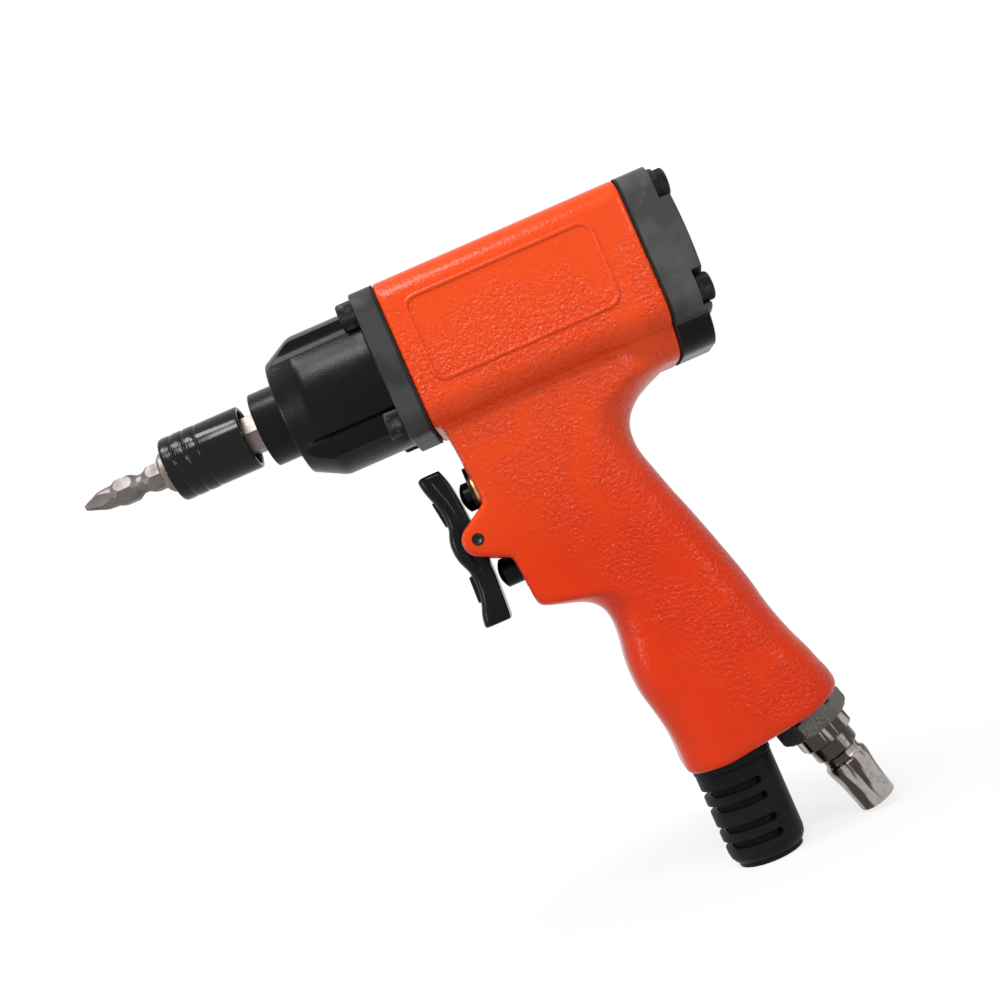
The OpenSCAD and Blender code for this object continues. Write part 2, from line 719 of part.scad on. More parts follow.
module bearing_balls() color(steel)
    for (x = bearing_xs, a = [0:360 / ball_count:359]) rotate([a, 0, 0])
        translate([x - bearing_w / 2, 0, race_mid_d / 2]) sphere(d = race_ball_d);

// Rotor with vane slots, a journal at each end and a hexagonal nose that drives the cage
rotor_front_x = liner_front_x - clear_gap / 2;
slot_depth = 0.46 * rotor_d / 2;
vane_gap = 0.05;
drive_front_x = cage_rear_disc_x - pilot_len - clear_gap;
module rotor() color(steel) difference() {
    union() {
        rod(rotor_front_x, rotor_len, rotor_d);
        rod(plate_front_x, rotor_len + 2 * plate_t + clear_gap, shaft_d);
        hex_rod(drive_front_x, drive_front_x - plate_front_x, drive_af);
    }
    for (i = [0:vane_count - 1]) rotate([360 * i / vane_count, 0, 0])
        translate([rotor_front_x - rotor_len - over, -vane_t / 2 - vane_gap, rotor_d / 2 - slot_depth])
            cube([rotor_len + 2 * over, vane_t + 2 * vane_gap, slot_depth + over]);
}
module rotor_vanes() color(felt)
    for (i = [0:vane_count - 1]) rotate([360 * i / vane_count, 0, 0])
        translate([rotor_front_x - rotor_len, -vane_t / 2, rotor_d / 2 - slot_depth + vane_gap])
            cube([rotor_len, vane_t, 0.94 * slot_depth]);

// Outline of the body and the rear cover, seen from behind: the body with the lobe under it
lobe_w = 0.9 * grip_w;
lobe_r = 9;
module rear_outline() {
    round_rect(body_w, body_h, body_r);
    translate([0, -lobe_drop / 2]) round_rect(lobe_w, lobe_drop, lobe_r);
}
module rear_gasket() color(dark) gasket(rear_x, rear_screw_off) rear_outline();

// Rear cover: domed back, a pocket round each screw, a lower lobe and a spigot on the motor
spigot_wall = 3;
pocket_d = 1.2 * head_d;
lobe_back = 1.8;
dome_reach = 0.9 * body_w;
dome_steps = 5;
function dome_point(i) =
    let (r = dome_reach * i / dome_steps) [cover_rear_x - crown_h + crown_h * pow(2 * r / body_w, 2), r];
module rear_cover() color(black) difference() {
    union() {
        intersection() {
            plate_x(cover_front_x, cover_t + crown_h) rear_outline();
            turned([
                [cover_front_x + over, 0], [cover_front_x + over, dome_reach],
                for (i = [dome_steps:-1:0]) dome_point(i)
            ]);
        }
        rod(motor_rear_x, motor_rear_x - cover_front_x, motor_d);
    }
    rod(motor_rear_x + over, motor_rear_x + over - cover_front_x, motor_d - 2 * spigot_wall);
    for (y = [-1, 1], z = [-1, 1]) screw_pocket(y, z);
    at_corners(screw_off, rear_screw_off)
        rod(cover_front_x + over, cover_t + 2 * over, screw_d + 2 * seat_gap);
    translate([cover_rear_x + lobe_back - 2 * cover_t, -body_w / 2, -2 * lobe_drop])
        cube([2 * cover_t, body_w, 2 * lobe_drop - rear_screw_off - pocket_d / 2]);
}
module screw_pocket(y, z) {
    translate([0, y * screw_off, z * rear_screw_off]) {
        rod(ledge_x, cover_t, pocket_d);
        plate_x(ledge_x, cover_t) {
            translate([y * pocket_d / 2, 0]) square(pocket_d, center = true);
            if (z > 0) translate([0, pocket_d / 2]) square(pocket_d, center = true);
        }
    }
}

// Grip: [depth, front, rear, half width, front radius, rear radius, lift] in shares of
// grip_drop, body_len, body_len, and half of grip_w three times; lift is a share of the end's tilt
grip_shares = [
    [0.125, 0.030, 0.928, 0.870, 0.13, 0.84, 0], [0.162, 0.032, 0.944, 0.903, 0.14, 0.88, 0],
    [0.195, 0.038, 0.947, 0.903, 0.14, 0.88, 0], [0.213, 0.042, 0.934, 0.903, 0.14, 0.88, 0],
    [0.221, 0.043, 0.902, 0.903, 0.14, 0.88, 0], [0.231, 0.045, 0.854, 0.903, 0.14, 0.87, 0],
    [0.248, 0.046, 0.792, 0.903, 0.14, 0.84, 0], [0.271, 0.051, 0.742, 0.896, 0.14, 0.81, 0],
    [0.297, 0.056, 0.712, 0.890, 0.14, 0.75, 0], [0.328, 0.059, 0.702, 0.883, 0.14, 0.68, 0],
    [0.357, 0.062, 0.707, 0.877, 0.14, 0.65, 0], [0.401, 0.067, 0.731, 0.870, 0.14, 0.62, 0],
    [0.453, 0.078, 0.762, 0.864, 0.14, 0.62, 0], [0.498, 0.088, 0.792, 0.864, 0.15, 0.62, 0],
    [0.542, 0.094, 0.819, 0.864, 0.17, 0.62, 0], [0.560, 0.106, 0.830, 0.864, 0.21, 0.62, 0],
    [0.570, 0.147, 0.837, 0.864, 0.29, 0.62, 0], [0.580, 0.208, 0.842, 0.864, 0.39, 0.62, 0],
    [0.591, 0.266, 0.848, 0.864, 0.49, 0.63, 0], [0.606, 0.307, 0.858, 0.864, 0.55, 0.64, 0],
    [0.627, 0.333, 0.870, 0.870, 0.60, 0.65, 0], [0.656, 0.342, 0.886, 0.877, 0.62, 0.65, 0],
    [0.689, 0.339, 0.902, 0.890, 0.64, 0.65, 0], [0.731, 0.326, 0.918, 0.903, 0.64, 0.65, 0],
    [0.772, 0.322, 0.939, 0.922, 0.64, 0.65, 0], [0.814, 0.328, 0.966, 0.942, 0.64, 0.65, 0],
    [0.855, 0.346, 0.995, 0.961, 0.64, 0.65, 0.10], [0.897, 0.363, 1.016, 0.981, 0.64, 0.65, 0.30],
    [0.934, 0.370, 1.032, 0.994, 0.64, 0.65, 0.60], [0.968, 0.370, 1.042, 1.000, 0.64, 0.65, 0.85],
    [0.985, 0.370, 1.043, 1.000, 0.64, 0.65, 1], [0.995, 0.376, 1.037, 0.974, 0.61, 0.62, 1],
    [1.000, 0.394, 1.019, 0.903, 0.55, 0.56, 1]
];
// Where the grip's end starts to slope, behind the body's face
bend_back = 0.72 * body_len;
module grip() {
    skin([for (s = grip_shares) plan_ring(
        -s[0] * grip_drop, face_x - s[1] * body_len, face_x - s[2] * body_len, s[3] * grip_w / 2,
        s[4] * grip_w / 2, s[5] * grip_w / 2, s[6] * tan(butt_tilt), face_x - bend_back)]);
}

// Raised rounded-rectangle line on each side of the body
bead_shares = [0.078, 0.85, 0.58, 0.024];
bead_len = (bead_shares[1] - bead_shares[0]) * body_len;
module beads() {
    translate([face_x - bead_shares[0] * body_len - bead_len / 2, 0, bead_shares[3] * body_h])
        plate_y(body_w + 2 * bead_h) difference() {
            round_rect(bead_len, bead_shares[2] * body_h, 0.58 * body_r);
            round_rect(bead_len - 2 * bead_w, bead_shares[2] * body_h - 2 * bead_w,
                0.58 * body_r - bead_w);
        }
}

// Ears that carry the trigger's pin
pin_x = face_x + pin_ahead;
pin_z = -pin_drop;
side_gap = 0.3;
ear_mid_y = trigger_w / 2 + side_gap + ear_t / 2;
ear_top = [face_x - 0.07 * body_len, -0.322 * grip_drop];
ear_foot = [face_x - 0.1 * body_len, -0.455 * grip_drop];
function tangent_point(p, c, r, side) =
    let (d = p - c, a = atan2(d[1], d[0]) + side * acos(r / norm(d)))
        c + r * [cos(a), sin(a)];
module ears() {
    c = [pin_x, pin_z];
    for (y = [-1, 1]) translate([0, y * ear_mid_y, 0]) plate_y(ear_t) {
        translate(c) circle(r = ear_r);
        polygon([ear_top, tangent_point(ear_top, c, ear_r, -1), c,
            tangent_point(ear_foot, c, ear_r, 1), ear_foot]);
        polygon([ear_top, c, ear_foot, ear_foot - [0.06 * body_len, 0], ear_top - [0.06 * body_len, 0]]);
    }
}

// Valves
upper_seat_x = face_x - 0.058 * body_len;
lower_seat_x = face_x - 0.1 * body_len;
upper_flange_d = 13.2;
lower_flange_d = 10.8;
retainer_d = 14.2;
bush_flange_t = 0.9;
retainer_t = 0.9;
valve_web_t = 4;
button_depth = bush_len - valve_spring_len - valve_web_t;
land_d = 0.94 * bush_d;
land_t = 2.8;
land_play = 0.3;
valve_seal_d = 1.2;
button_travel = 2.2;
land_back = bush_len + button_travel + land_play;
chamber_len = 2 * (button_travel + land_play) + land_t;
upper_tip_x = face_x + upper_ahead;
lower_tip_x = face_x + lower_ahead;
module valve_bush(seat_x, drop, flange_d) {
    translate([0, 0, -drop]) difference() {
        union() {
            rod(seat_x, bush_len, bush_d);
            rod(seat_x + bush_flange_t, bush_flange_t, flange_d);
        }
        rod(seat_x + over + bush_flange_t, over + bush_flange_t + button_depth + valve_spring_len,
            button_d + 2 * run_gap);
        rod(seat_x, bush_len + over, stem_d + 2 * run_gap);
    }
}
module valve_button(seat_x, drop, tip_x) {
    crown_rear_x = seat_x - button_depth;
    land_x = seat_x - land_back;
    translate([0, 0, -drop]) difference() {
        turned([
            for (i = [0:5]) let (a = asin(button_d / 2 / dome_r) * i / 5)
                [tip_x - dome_r * (1 - cos(a)), dome_r * sin(a)],
            [crown_rear_x, button_d / 2], [crown_rear_x, stem_d / 2], [land_x, stem_d / 2],
            [land_x, land_d / 2], [land_x - land_t, land_d / 2], [land_x - land_t, 0]
        ]);
        valve_seal_ring(seat_x, seat_gap);
    }
}
module valve_seal_ring(seat_x, gap) {
    translate([seat_x - land_back - land_t / 2, 0, 0]) rotate([0, 90, 0]) rotate_extrude()
        translate([(bush_d - valve_seal_d) / 2, 0]) circle(d = valve_seal_d + 2 * gap);
}
module valve_spring(seat_x, drop) {
    translate([0, 0, -drop])
        coil(seat_x - button_depth, valve_spring_len, (button_d + stem_d) / 4, valve_wire, 4);
}
module upper_valve_bush() color(brass) valve_bush(upper_seat_x, upper_drop, upper_flange_d);
module lower_valve_bush() color(brass) valve_bush(lower_seat_x, lower_drop, lower_flange_d);
module upper_valve_button() color(black) valve_button(upper_seat_x, upper_drop, upper_tip_x);
module lower_valve_button() color(black) valve_button(lower_seat_x, lower_drop, lower_tip_x);
module upper_valve_spring() color(steel) valve_spring(upper_seat_x, upper_drop);
module lower_valve_spring() color(steel) valve_spring(lower_seat_x, lower_drop);
module upper_valve_seal() color(dark) translate([0, 0, -upper_drop]) valve_seal_ring(upper_seat_x, 0);
module lower_valve_seal() color(dark) translate([0, 0, -lower_drop]) valve_seal_ring(lower_seat_x, 0);
module valve_retainer() color(black) translate([0, 0, -upper_drop]) difference() {
    rod(upper_seat_x + bush_flange_t + retainer_t, retainer_t, retainer_d);
    rod(upper_seat_x + bush_flange_t + retainer_t + over, retainer_t + 2 * over,
        button_d + clear_gap);
}
module valve_cuts() {
    for (v = [[upper_seat_x, upper_drop, retainer_d], [lower_seat_x, lower_drop, lower_flange_d]])
        translate([v[0], 0, -v[1]]) {
            rod(over, over + bush_len + chamber_len, bush_d + 2 * seat_gap);
            rod(0.1 * body_len, 0.1 * body_len, v[2] + clear_gap);
        }
}

// Trigger: [height, finger side, back, half width] in shares of arm_len, trigger_t twice
// and half of trigger_w, from the pin
trigger_shares = [
    [0.955, 0.95, 0.290, 0.90], [0.917, 1.00, 0.253, 0.98],
    [0.805, 0.96, 0.169, 1], [0.683, 0.87, 0.120, 1],
    [0.590, 0.79, 0.096, 1], [0.468, 0.73, 0.066, 1],
    [0.341, 0.71, 0.036, 1], [0.259, 0.73, 0.018, 1],
    [0.170, 0.81, 0.000, 1], [0.110, 0.85, -0.006, 1],
    [0.039, 0.87, -0.012, 1], [-0.059, 0.86, -0.018, 1],
    [-0.140, 0.82, -0.021, 1], [-0.215, 0.75, -0.024, 1],
    [-0.312, 0.66, -0.024, 1], [-0.459, 0.64, -0.018, 1],
    [-0.605, 0.66, -0.006, 1], [-0.727, 0.73, 0.006, 1],
    [-0.840, 0.83, 0.024, 1], [-0.966, 0.88, 0.048, 0.98],
    [-1.000, 0.84, 0.084, 0.90]
];
// Pads on the finger side: middle height, face and length in shares of the same sizes
pad_shares = [[0.47, 0.83, 0.34, 8], [-0.52, 0.76, 0.34, -2]];
boss_d = 2 * pin_d;
module trigger() color(black) difference() {
    union() {
        skin([for (s = trigger_shares) plan_ring(
            pin_z + s[0] * arm_len, pin_x + s[1] * trigger_t, pin_x + s[2] * trigger_t,
            s[3] * trigger_w / 2, 0.3 * trigger_t, 0.08 * trigger_t)]);
        translate([pin_x, 0, pin_z]) rotate([90, 0, 0])
            cylinder(h = trigger_w, d = boss_d, center = true);
        for (p = pad_shares) translate([pin_x + p[1] * trigger_t, 0, pin_z + p[0] * arm_len])
            rotate([0, p[3], 0]) translate([-0.2 * trigger_t, -0.3 * trigger_w, -p[2] * arm_len / 2])
                cube([0.2 * trigger_t, 0.6 * trigger_w, p[2] * arm_len]);
    }
    translate([pin_x, 0, pin_z]) rotate([90, 0, 0])
        cylinder(h = trigger_w + 2 * over, d = pin_d + 2 * run_gap, center = true);
}
pin_len = 2 * (trigger_w / 2 + side_gap + ear_t) - clear_gap;
module trigger_pin() color(steel) translate([pin_x, 0, pin_z]) rotate([90, 0, 0]) difference() {
    cylinder(h = pin_len, d = pin_d, center = true);
    cylinder(h = pin_len + 2 * over, d = 0.55 * pin_d, center = true);
}

// Air inlet, built down its own axis from the grip's sloping end
washer_gap = 0.8;
inlet_z = tan(butt_tilt) * (inlet_back - bend_back) - grip_drop;
thread_len = 10;
plug_thread_d = 9.6;
plug_thread_len = 7;
adapter_way = 7;
screen_d = 10;
screen_t = 1;
module at_inlet() {
    translate([face_x - inlet_back, 0, inlet_z]) rotate([0, inlet_tilt, 0]) children();
}
module down(z, len, d) {
    translate([0, 0, z - len]) cylinder(h = len, d = d);
}
module nut(z, len, af) {
    intersection() {
        translate([0, 0, z - len]) cylinder(h = len, r = af / sqrt(3), $fn = 6);
        rotate_extrude() polygon([
            [0, z], [0.96 * af / sqrt(3), z], [af / sqrt(3), z - 0.04 * af],
            [af / sqrt(3), z - len + 0.04 * af], [0.96 * af / sqrt(3), z - len], [0, z - len]
        ]);
    }
}
module adapter_seal() color(dark) at_inlet() difference() {
    down(0, washer_gap, 0.94 * adapter_af);
    down(over, washer_gap + 2 * over, adapter_d + 2 * seat_gap);
}
module inlet_adapter() color(grey_steel) at_inlet() difference() {
    union() {
        nut(-washer_gap, adapter_t, adapter_af);
        down(thread_len, thread_len + washer_gap, adapter_d);
    }
    down(thread_len + over, thread_len + adapter_t + washer_gap + 2 * over, adapter_way);
    down(plug_thread_len - washer_gap - adapter_t, plug_thread_len + over, plug_thread_d + 2 * seat_gap);
    down(thread_len + over, over + screen_t, screen_d + 2 * seat_gap);
}
module inlet_screen() color(brass) at_inlet() difference() {
    down(thread_len, screen_t, screen_d);
    for (i = [-2:2], j = [-2:2]) if (norm([i, j]) < 2.3)
        translate([i * screen_d / 6, j * screen_d / 6, 0])
            down(thread_len + over, screen_t + 2 * over, 0.12 * screen_d);
}
// Plug: [depth share of plug_len, diameter share of plug_d]
plug_shares = [
    [0.175, 0], [0.175, 0.99], [0.185, 1.03], [0.33, 1.03], [0.345, 0.96], [0.36, 0.72],
    [0.45, 0.72], [0.47, 0.96], [0.485, 1], [0.53, 1], [0.56, 0.96]
];
plug_nose_share = 0.16;
module inlet_plug() color(steel) at_inlet() translate([0, 0, -washer_gap - adapter_t]) difference() {
    union() {
        down(plug_thread_len - clear_gap, plug_thread_len - clear_gap, plug_thread_d);
        nut(0, 0.175 * plug_len, plug_af);
        rotate_extrude() polygon([
            for (s = plug_shares) [s[1] * plug_d / 2, -s[0] * plug_len],
            [plug_nose_d / 2, (plug_nose_share - 1) * plug_len],
            [plug_nose_d / 2, -plug_len], [0, -plug_len]
        ]);
    }
    down(plug_thread_len, plug_thread_len + plug_len + over, plug_bore);
}

// Muffler, built down from the grip's end
muffler_bore = muffler_d - 2 * muffler_wall;
neck_d = 16;
neck_len = 9;
neck_way = 11;
muffler_top_t = 3;
cap_t = 1.6;
cap_d = 0.84 * muffler_d;
slot_shares = [0.265, 0.42, 0.635, 0.79];
module at_muffler() {
    translate([face_x - muffler_back, 0, -grip_drop]) children();
}
module muffler_body() color(black) at_muffler() difference() {
    union() {
        down(neck_len, neck_len + over, neck_d);
        rotate_extrude() polygon([
            [0, 0], [0.51 * muffler_d, 0], [0.51 * muffler_d, -0.07 * muffler_len],
            [0.5 * muffler_d, -0.085 * muffler_len], [0.5 * muffler_d, -0.88 * muffler_len],
            [0.485 * muffler_d, -0.94 * muffler_len], [0.45 * muffler_d, -0.98 * muffler_len],
            [0.42 * muffler_d, -muffler_len], [0, -muffler_len]
        ]);
    }
    down(neck_len + over, 2 * neck_len, neck_way);
    down(-muffler_top_t, muffler_len, muffler_bore);
    for (s = slot_shares) translate([0, 0, -s * muffler_len]) {
        rotate([0, 0, -slot_arc / 2]) translate([0, 0, -slot_h / 2]) rotate_extrude(angle = slot_arc)
            translate([muffler_bore / 2 - over, 0]) square([muffler_wall + 2 * over, slot_h]);
        for (end = [-1, 1]) rotate([0, 90, end * slot_arc / 2])
            cylinder(h = muffler_d, d = slot_h, $fn = 24);
    }
}
module muffler_element() color(felt) at_muffler() difference() {
    down(-muffler_top_t, muffler_len - muffler_top_t - cap_t, muffler_bore - 2 * clear_gap);
    down(over - muffler_top_t, muffler_len, neck_way - 2 * clear_gap);
}
module muffler_cap() color(black) at_muffler() {
    down(cap_t - muffler_len, cap_t, muffler_bore - 2 * seat_gap);
    down(-muffler_len, 0.6 * cap_t, cap_d);
}

// Housing: body, lobe, grip, ears and beads with their bores
lobe_len = 0.36 * body_len;
module housing() color(orange) difference() {
    union() {
        plate_x(face_x, body_len) round_rect(body_w, body_h, body_r);
        plate_x(rear_x + lobe_len, lobe_len)
            translate([0, -lobe_drop / 2]) round_rect(lobe_w, lobe_drop, lobe_r);
        grip();
        beads();
        ears();
    }
    rod(face_x + over, body_len + 2 * over, body_bore);
    at_corners(screw_off, front_screw_off)
        rod(face_x + over, screw_grip + 2 * over, screw_d + 2 * seat_gap);
    at_corners(screw_off, rear_screw_off)
        rod(rear_x + screw_grip + over, screw_grip + 2 * over, screw_d + 2 * seat_gap);
    valve_cuts();
    translate([pin_x, 0, pin_z]) rotate([90, 0, 0])
        cylinder(h = body_w, d = pin_d + 2 * run_gap, center = true);
    at_muffler() {
        down(neck_len + over, neck_len + 2 * over, neck_d + 2 * seat_gap);
        down(0, 2 * over, 1.2 * muffler_d);
    }
    at_inlet() {
        down(thread_len + over, thread_len + 2 * over, adapter_d + 2 * seat_gap);
        down(0, adapter_t, 1.3 * adapter_af);
    }
}

driver_bit();
anvil();
chuck_sleeve();
chuck_spring();
spring_clip();
sleeve_stop_ring();
locking_balls();
hammer_case();
anvil_bush();
nose_seal();
thrust_washer();
front_screws();
case_gasket();
hammer_cage();
hammer_pins();
front_hammer();
rear_hammer();
housing();
cylinder_liner();
liner_pin();
front_end_plate();
rear_end_plate();
bearing_outer_rings();
bearing_inner_rings();
bearing_balls();
rotor();
rotor_vanes();
rear_gasket();
rear_cover();
rear_screws();
trigger();
trigger_pin();
upper_valve_bush();
lower_valve_bush();
upper_valve_button();
lower_valve_button();
upper_valve_spring();
lower_valve_spring();
upper_valve_seal();
lower_valve_seal();
valve_retainer();
inlet_adapter();
adapter_seal();
inlet_screen();
inlet_plug();
muffler_body();
muffler_element();
muffler_cap();
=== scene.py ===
"""Pneumatic impact screwdriver: dressed model, camera, floor and light.

Lengths are in millimetres until a mesh is made, then metres. +X points to the bit,
+Y to the tool's left side and +Z up; the origin is at the mouth of the bit socket.
"""
import math

import bmesh
import bpy
import numpy as np
from mathutils import Matrix, Vector


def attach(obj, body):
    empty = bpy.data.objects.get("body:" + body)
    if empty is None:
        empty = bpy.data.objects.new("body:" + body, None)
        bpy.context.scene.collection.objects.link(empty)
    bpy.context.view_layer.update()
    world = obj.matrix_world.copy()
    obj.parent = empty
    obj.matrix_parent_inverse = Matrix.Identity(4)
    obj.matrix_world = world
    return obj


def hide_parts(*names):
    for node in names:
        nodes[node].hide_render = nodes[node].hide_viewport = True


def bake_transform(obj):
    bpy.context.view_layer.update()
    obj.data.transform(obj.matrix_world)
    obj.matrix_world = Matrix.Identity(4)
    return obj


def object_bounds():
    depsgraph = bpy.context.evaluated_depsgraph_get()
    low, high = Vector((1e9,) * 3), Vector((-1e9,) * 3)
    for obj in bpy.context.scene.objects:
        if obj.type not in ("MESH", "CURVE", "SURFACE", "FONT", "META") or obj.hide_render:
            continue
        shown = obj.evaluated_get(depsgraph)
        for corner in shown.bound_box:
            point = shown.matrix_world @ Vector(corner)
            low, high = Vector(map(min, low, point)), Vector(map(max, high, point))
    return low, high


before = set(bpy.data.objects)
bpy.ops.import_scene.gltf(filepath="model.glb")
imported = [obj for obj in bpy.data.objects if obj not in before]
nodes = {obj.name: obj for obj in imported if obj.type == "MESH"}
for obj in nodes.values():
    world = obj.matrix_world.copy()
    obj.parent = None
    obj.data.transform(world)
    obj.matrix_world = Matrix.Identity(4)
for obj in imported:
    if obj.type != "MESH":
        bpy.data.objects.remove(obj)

MM = 0.001
cad_box = [list(map(float, corner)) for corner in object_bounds()]

# Stations along the spindle, sizes and places, as in the part's source
FACE_X = -66.7
BODY_LEN, BODY_W, BODY_H, BODY_R = 62.5, 38.0, 37.8, 6.0
REAR_X, COVER_BACK_X = FACE_X - BODY_LEN, -141.6
LOBE_HALF_W, LOBE_HALF_H, LOBE_R = 13.86, 12.9, 9.0
SCREW_Y, FRONT_SCREW_Z, REAR_SCREW_Z = 14.1, 14.0, 13.4
GRIP_DROP, GRIP_W, BUTT_TILT = 120.4, 30.8, math.radians(16.3)
BEND_X, INLET_X = FACE_X - 0.72 * BODY_LEN, FACE_X - 56.2
PIN_X, PIN_Z, PIN_HOLE_R = FACE_X + 0.9, -47.0, 1.55
UPPER_VALVE_Z, LOWER_VALVE_Z = -35.7, -56.7
# The inlet's own axes: the middle of its seat on the grip's sloping end, down and across
INLET_SEAT = np.array([INLET_X, 0, math.tan(BUTT_TILT) * (BEND_X - INLET_X) - GRIP_DROP])
INLET_DOWN = np.array([-math.sin(BUTT_TILT), 0, -math.cos(BUTT_TILT)])
INLET_SIDE = np.array([math.cos(BUTT_TILT), 0, -math.sin(BUTT_TILT)])
WHITE = (1.0, 1.0, 1.0, 1.0)


def placed(name, data):
    """A new object, linked to the scene."""
    made = bpy.data.objects.new(name, data)
    bpy.context.scene.collection.objects.link(made)
    return made


# Camera
ROLL = math.radians(23.6)
CAMERA_AT = (FACE_X - 10.1, 311.0, -62.0)
PICTURE_PIXELS, SENSOR_MM = 1000.0, 36.0
PIXELS_PER_MM = 4.0
AXIS_PIXEL = (545.2, 578.5)


def make_camera():
    """Looks along -Y, rolled so that the spindle runs down to the left; the optical
    axis meets the picture at AXIS_PIXEL, which the lens shift sets."""
    data = bpy.data.cameras.new("camera")
    data.sensor_fit = "HORIZONTAL"
    data.sensor_width = SENSOR_MM
    data.lens = SENSOR_MM * PIXELS_PER_MM * CAMERA_AT[1] / PICTURE_PIXELS
    data.shift_x = (PICTURE_PIXELS / 2 - AXIS_PIXEL[0]) / PICTURE_PIXELS
    data.shift_y = (AXIS_PIXEL[1] - PICTURE_PIXELS / 2) / PICTURE_PIXELS
    data.clip_start, data.clip_end = 0.01, 20.0
    camera = placed("camera", data)
    right = Vector((-math.cos(ROLL), 0, -math.sin(ROLL)))
    up = Vector((-math.sin(ROLL), 0, math.cos(ROLL)))
    back = right.cross(up)
    turn = Matrix((right, up, back)).transposed().to_4x4()
    camera.matrix_world = Matrix.Translation(Vector(CAMERA_AT) * MM) @ turn
    bpy.context.scene.camera = camera


make_camera()


# Shader maths
class Sock:
    """A socket in a node tree; an expression on it adds Math nodes."""

    def __init__(self, finish, socket):
        self.finish, self.socket = finish, socket

    def _maths(self, operation, *values):
        return self.finish.node(
            "ShaderNodeMath", {"operation": operation}, dict(enumerate(values)))

    def __add__(self, other): return self._maths("ADD", self, other)
    def __radd__(self, other): return self._maths("ADD", other, self)
    def __sub__(self, other): return self._maths("SUBTRACT", self, other)
    def __rsub__(self, other): return self._maths("SUBTRACT", other, self)
    def __mul__(self, other): return self._maths("MULTIPLY", self, other)
    def __rmul__(self, other): return self._maths("MULTIPLY", other, self)

    def clamp(self):
        return self._maths("MINIMUM", self._maths("MAXIMUM", self, 0.0), 1.0)


class Finish:
    """One material, or the world: its node tree and the ways to add to it."""

    def __init__(self, name, world=False):
        self.owner = bpy.data.worlds.new(name) if world else bpy.data.materials.new(name)
        self.owner.use_nodes = True
        self.tree = self.owner.node_tree
        self.tree.nodes.clear()
        self.output = self.tree.nodes.new(
            "ShaderNodeOutputWorld" if world else "ShaderNodeOutputMaterial")

    def node(self, kind, settings=None, inputs=None, out=0):
        """Adds a node: its settings first, then values or links by socket name or place."""
        made = self.tree.nodes.new(kind)
        for key, value in (settings or {}).items():
            setattr(made, key, value)
        for key, value in (inputs or {}).items():
            target = made.inputs[key]
            if isinstance(value, Sock):
                self.tree.links.new(value.socket, target)
            else:
                target.default_value = value
        return Sock(self, made.outputs[out])

    def place(self):
        return self.node("ShaderNodeTexCoord", out="Object")

    def part(self, axis):
        """One coordinate of the object, in metres."""
        return self.node("ShaderNodeSeparateXYZ", {}, {0: self.place()}, out=axis)

    def seen(self):
        """1 for a ray that shows a thing straight, in a mirror or through glass."""
        return (self.node("ShaderNodeLightPath", out="Is Camera Ray")
                + self.node("ShaderNodeLightPath", out="Is Glossy Ray")
                + self.node("ShaderNodeLightPath", out="Is Transmission Ray")).clamp()

    def stretched(self, scale):
        return self.node("ShaderNodeMapping", {}, {"Vector": self.place(), "Scale": scale})

    def noise(self, size_mm, detail=3.0, rough=0.5, vector=None, distortion=0.0):
        """Noise whose features are about size_mm across, from 0 to 1."""
        return self.node("ShaderNodeTexNoise", {}, {
            "Vector": vector or self.place(), "Scale": 1000.0 / size_mm, "Detail": detail,
            "Roughness": rough, "Distortion": distortion})

    def ramp(self, value, low, high):
        """0 below low, 1 above high and straight between them."""
        return self.node("ShaderNodeMapRange", {"clamp": True}, {
            "Value": value, "From Min": low, "From Max": high, "To Min": 0.0, "To Max": 1.0})

    def mix(self, share, first, second):
        """The first colour where share is 0, the second where it is 1."""
        first, second = (
            v if isinstance(v, Sock) else (*v, 1.0) for v in (first, second))
        return self.node(
            "ShaderNodeMix", {"data_type": "RGBA"}, {0: share, 6: first, 7: second}, out=2)

    def bump(self, height, depth_mm):
        """A normal for a relief whose height runs from 0 to 1 over depth_mm."""
        return self.node("ShaderNodeBump", {}, {
            "Height": height, "Distance": depth_mm * MM, "Strength": 1.0}, out="Normal")

    def surface(self, **inputs):
        """Ends the tree in a Principled shader; an input's name has _ for each space."""
        values = {key.replace("_", " "): value for key, value in inputs.items()}
        shader = self.node("ShaderNodeBsdfPrincipled", {}, {
            key: (*value, 1.0) if isinstance(value, tuple) and len(value) == 3 else value
            for key, value in values.items()})
        return self.end(shader)

    def end(self, shader):
        self.tree.links.new(shader.socket, self.output.inputs["Surface"])
        return self.owner


def srgb(red, green, blue):
    """A display colour, 0 to 255, as linear light."""
    return tuple(
        v / 12.92 if v <= 0.04045 else ((v + 0.055) / 1.055) ** 2.4
        for v in (red / 255.0, green / 255.0, blue / 255.0))


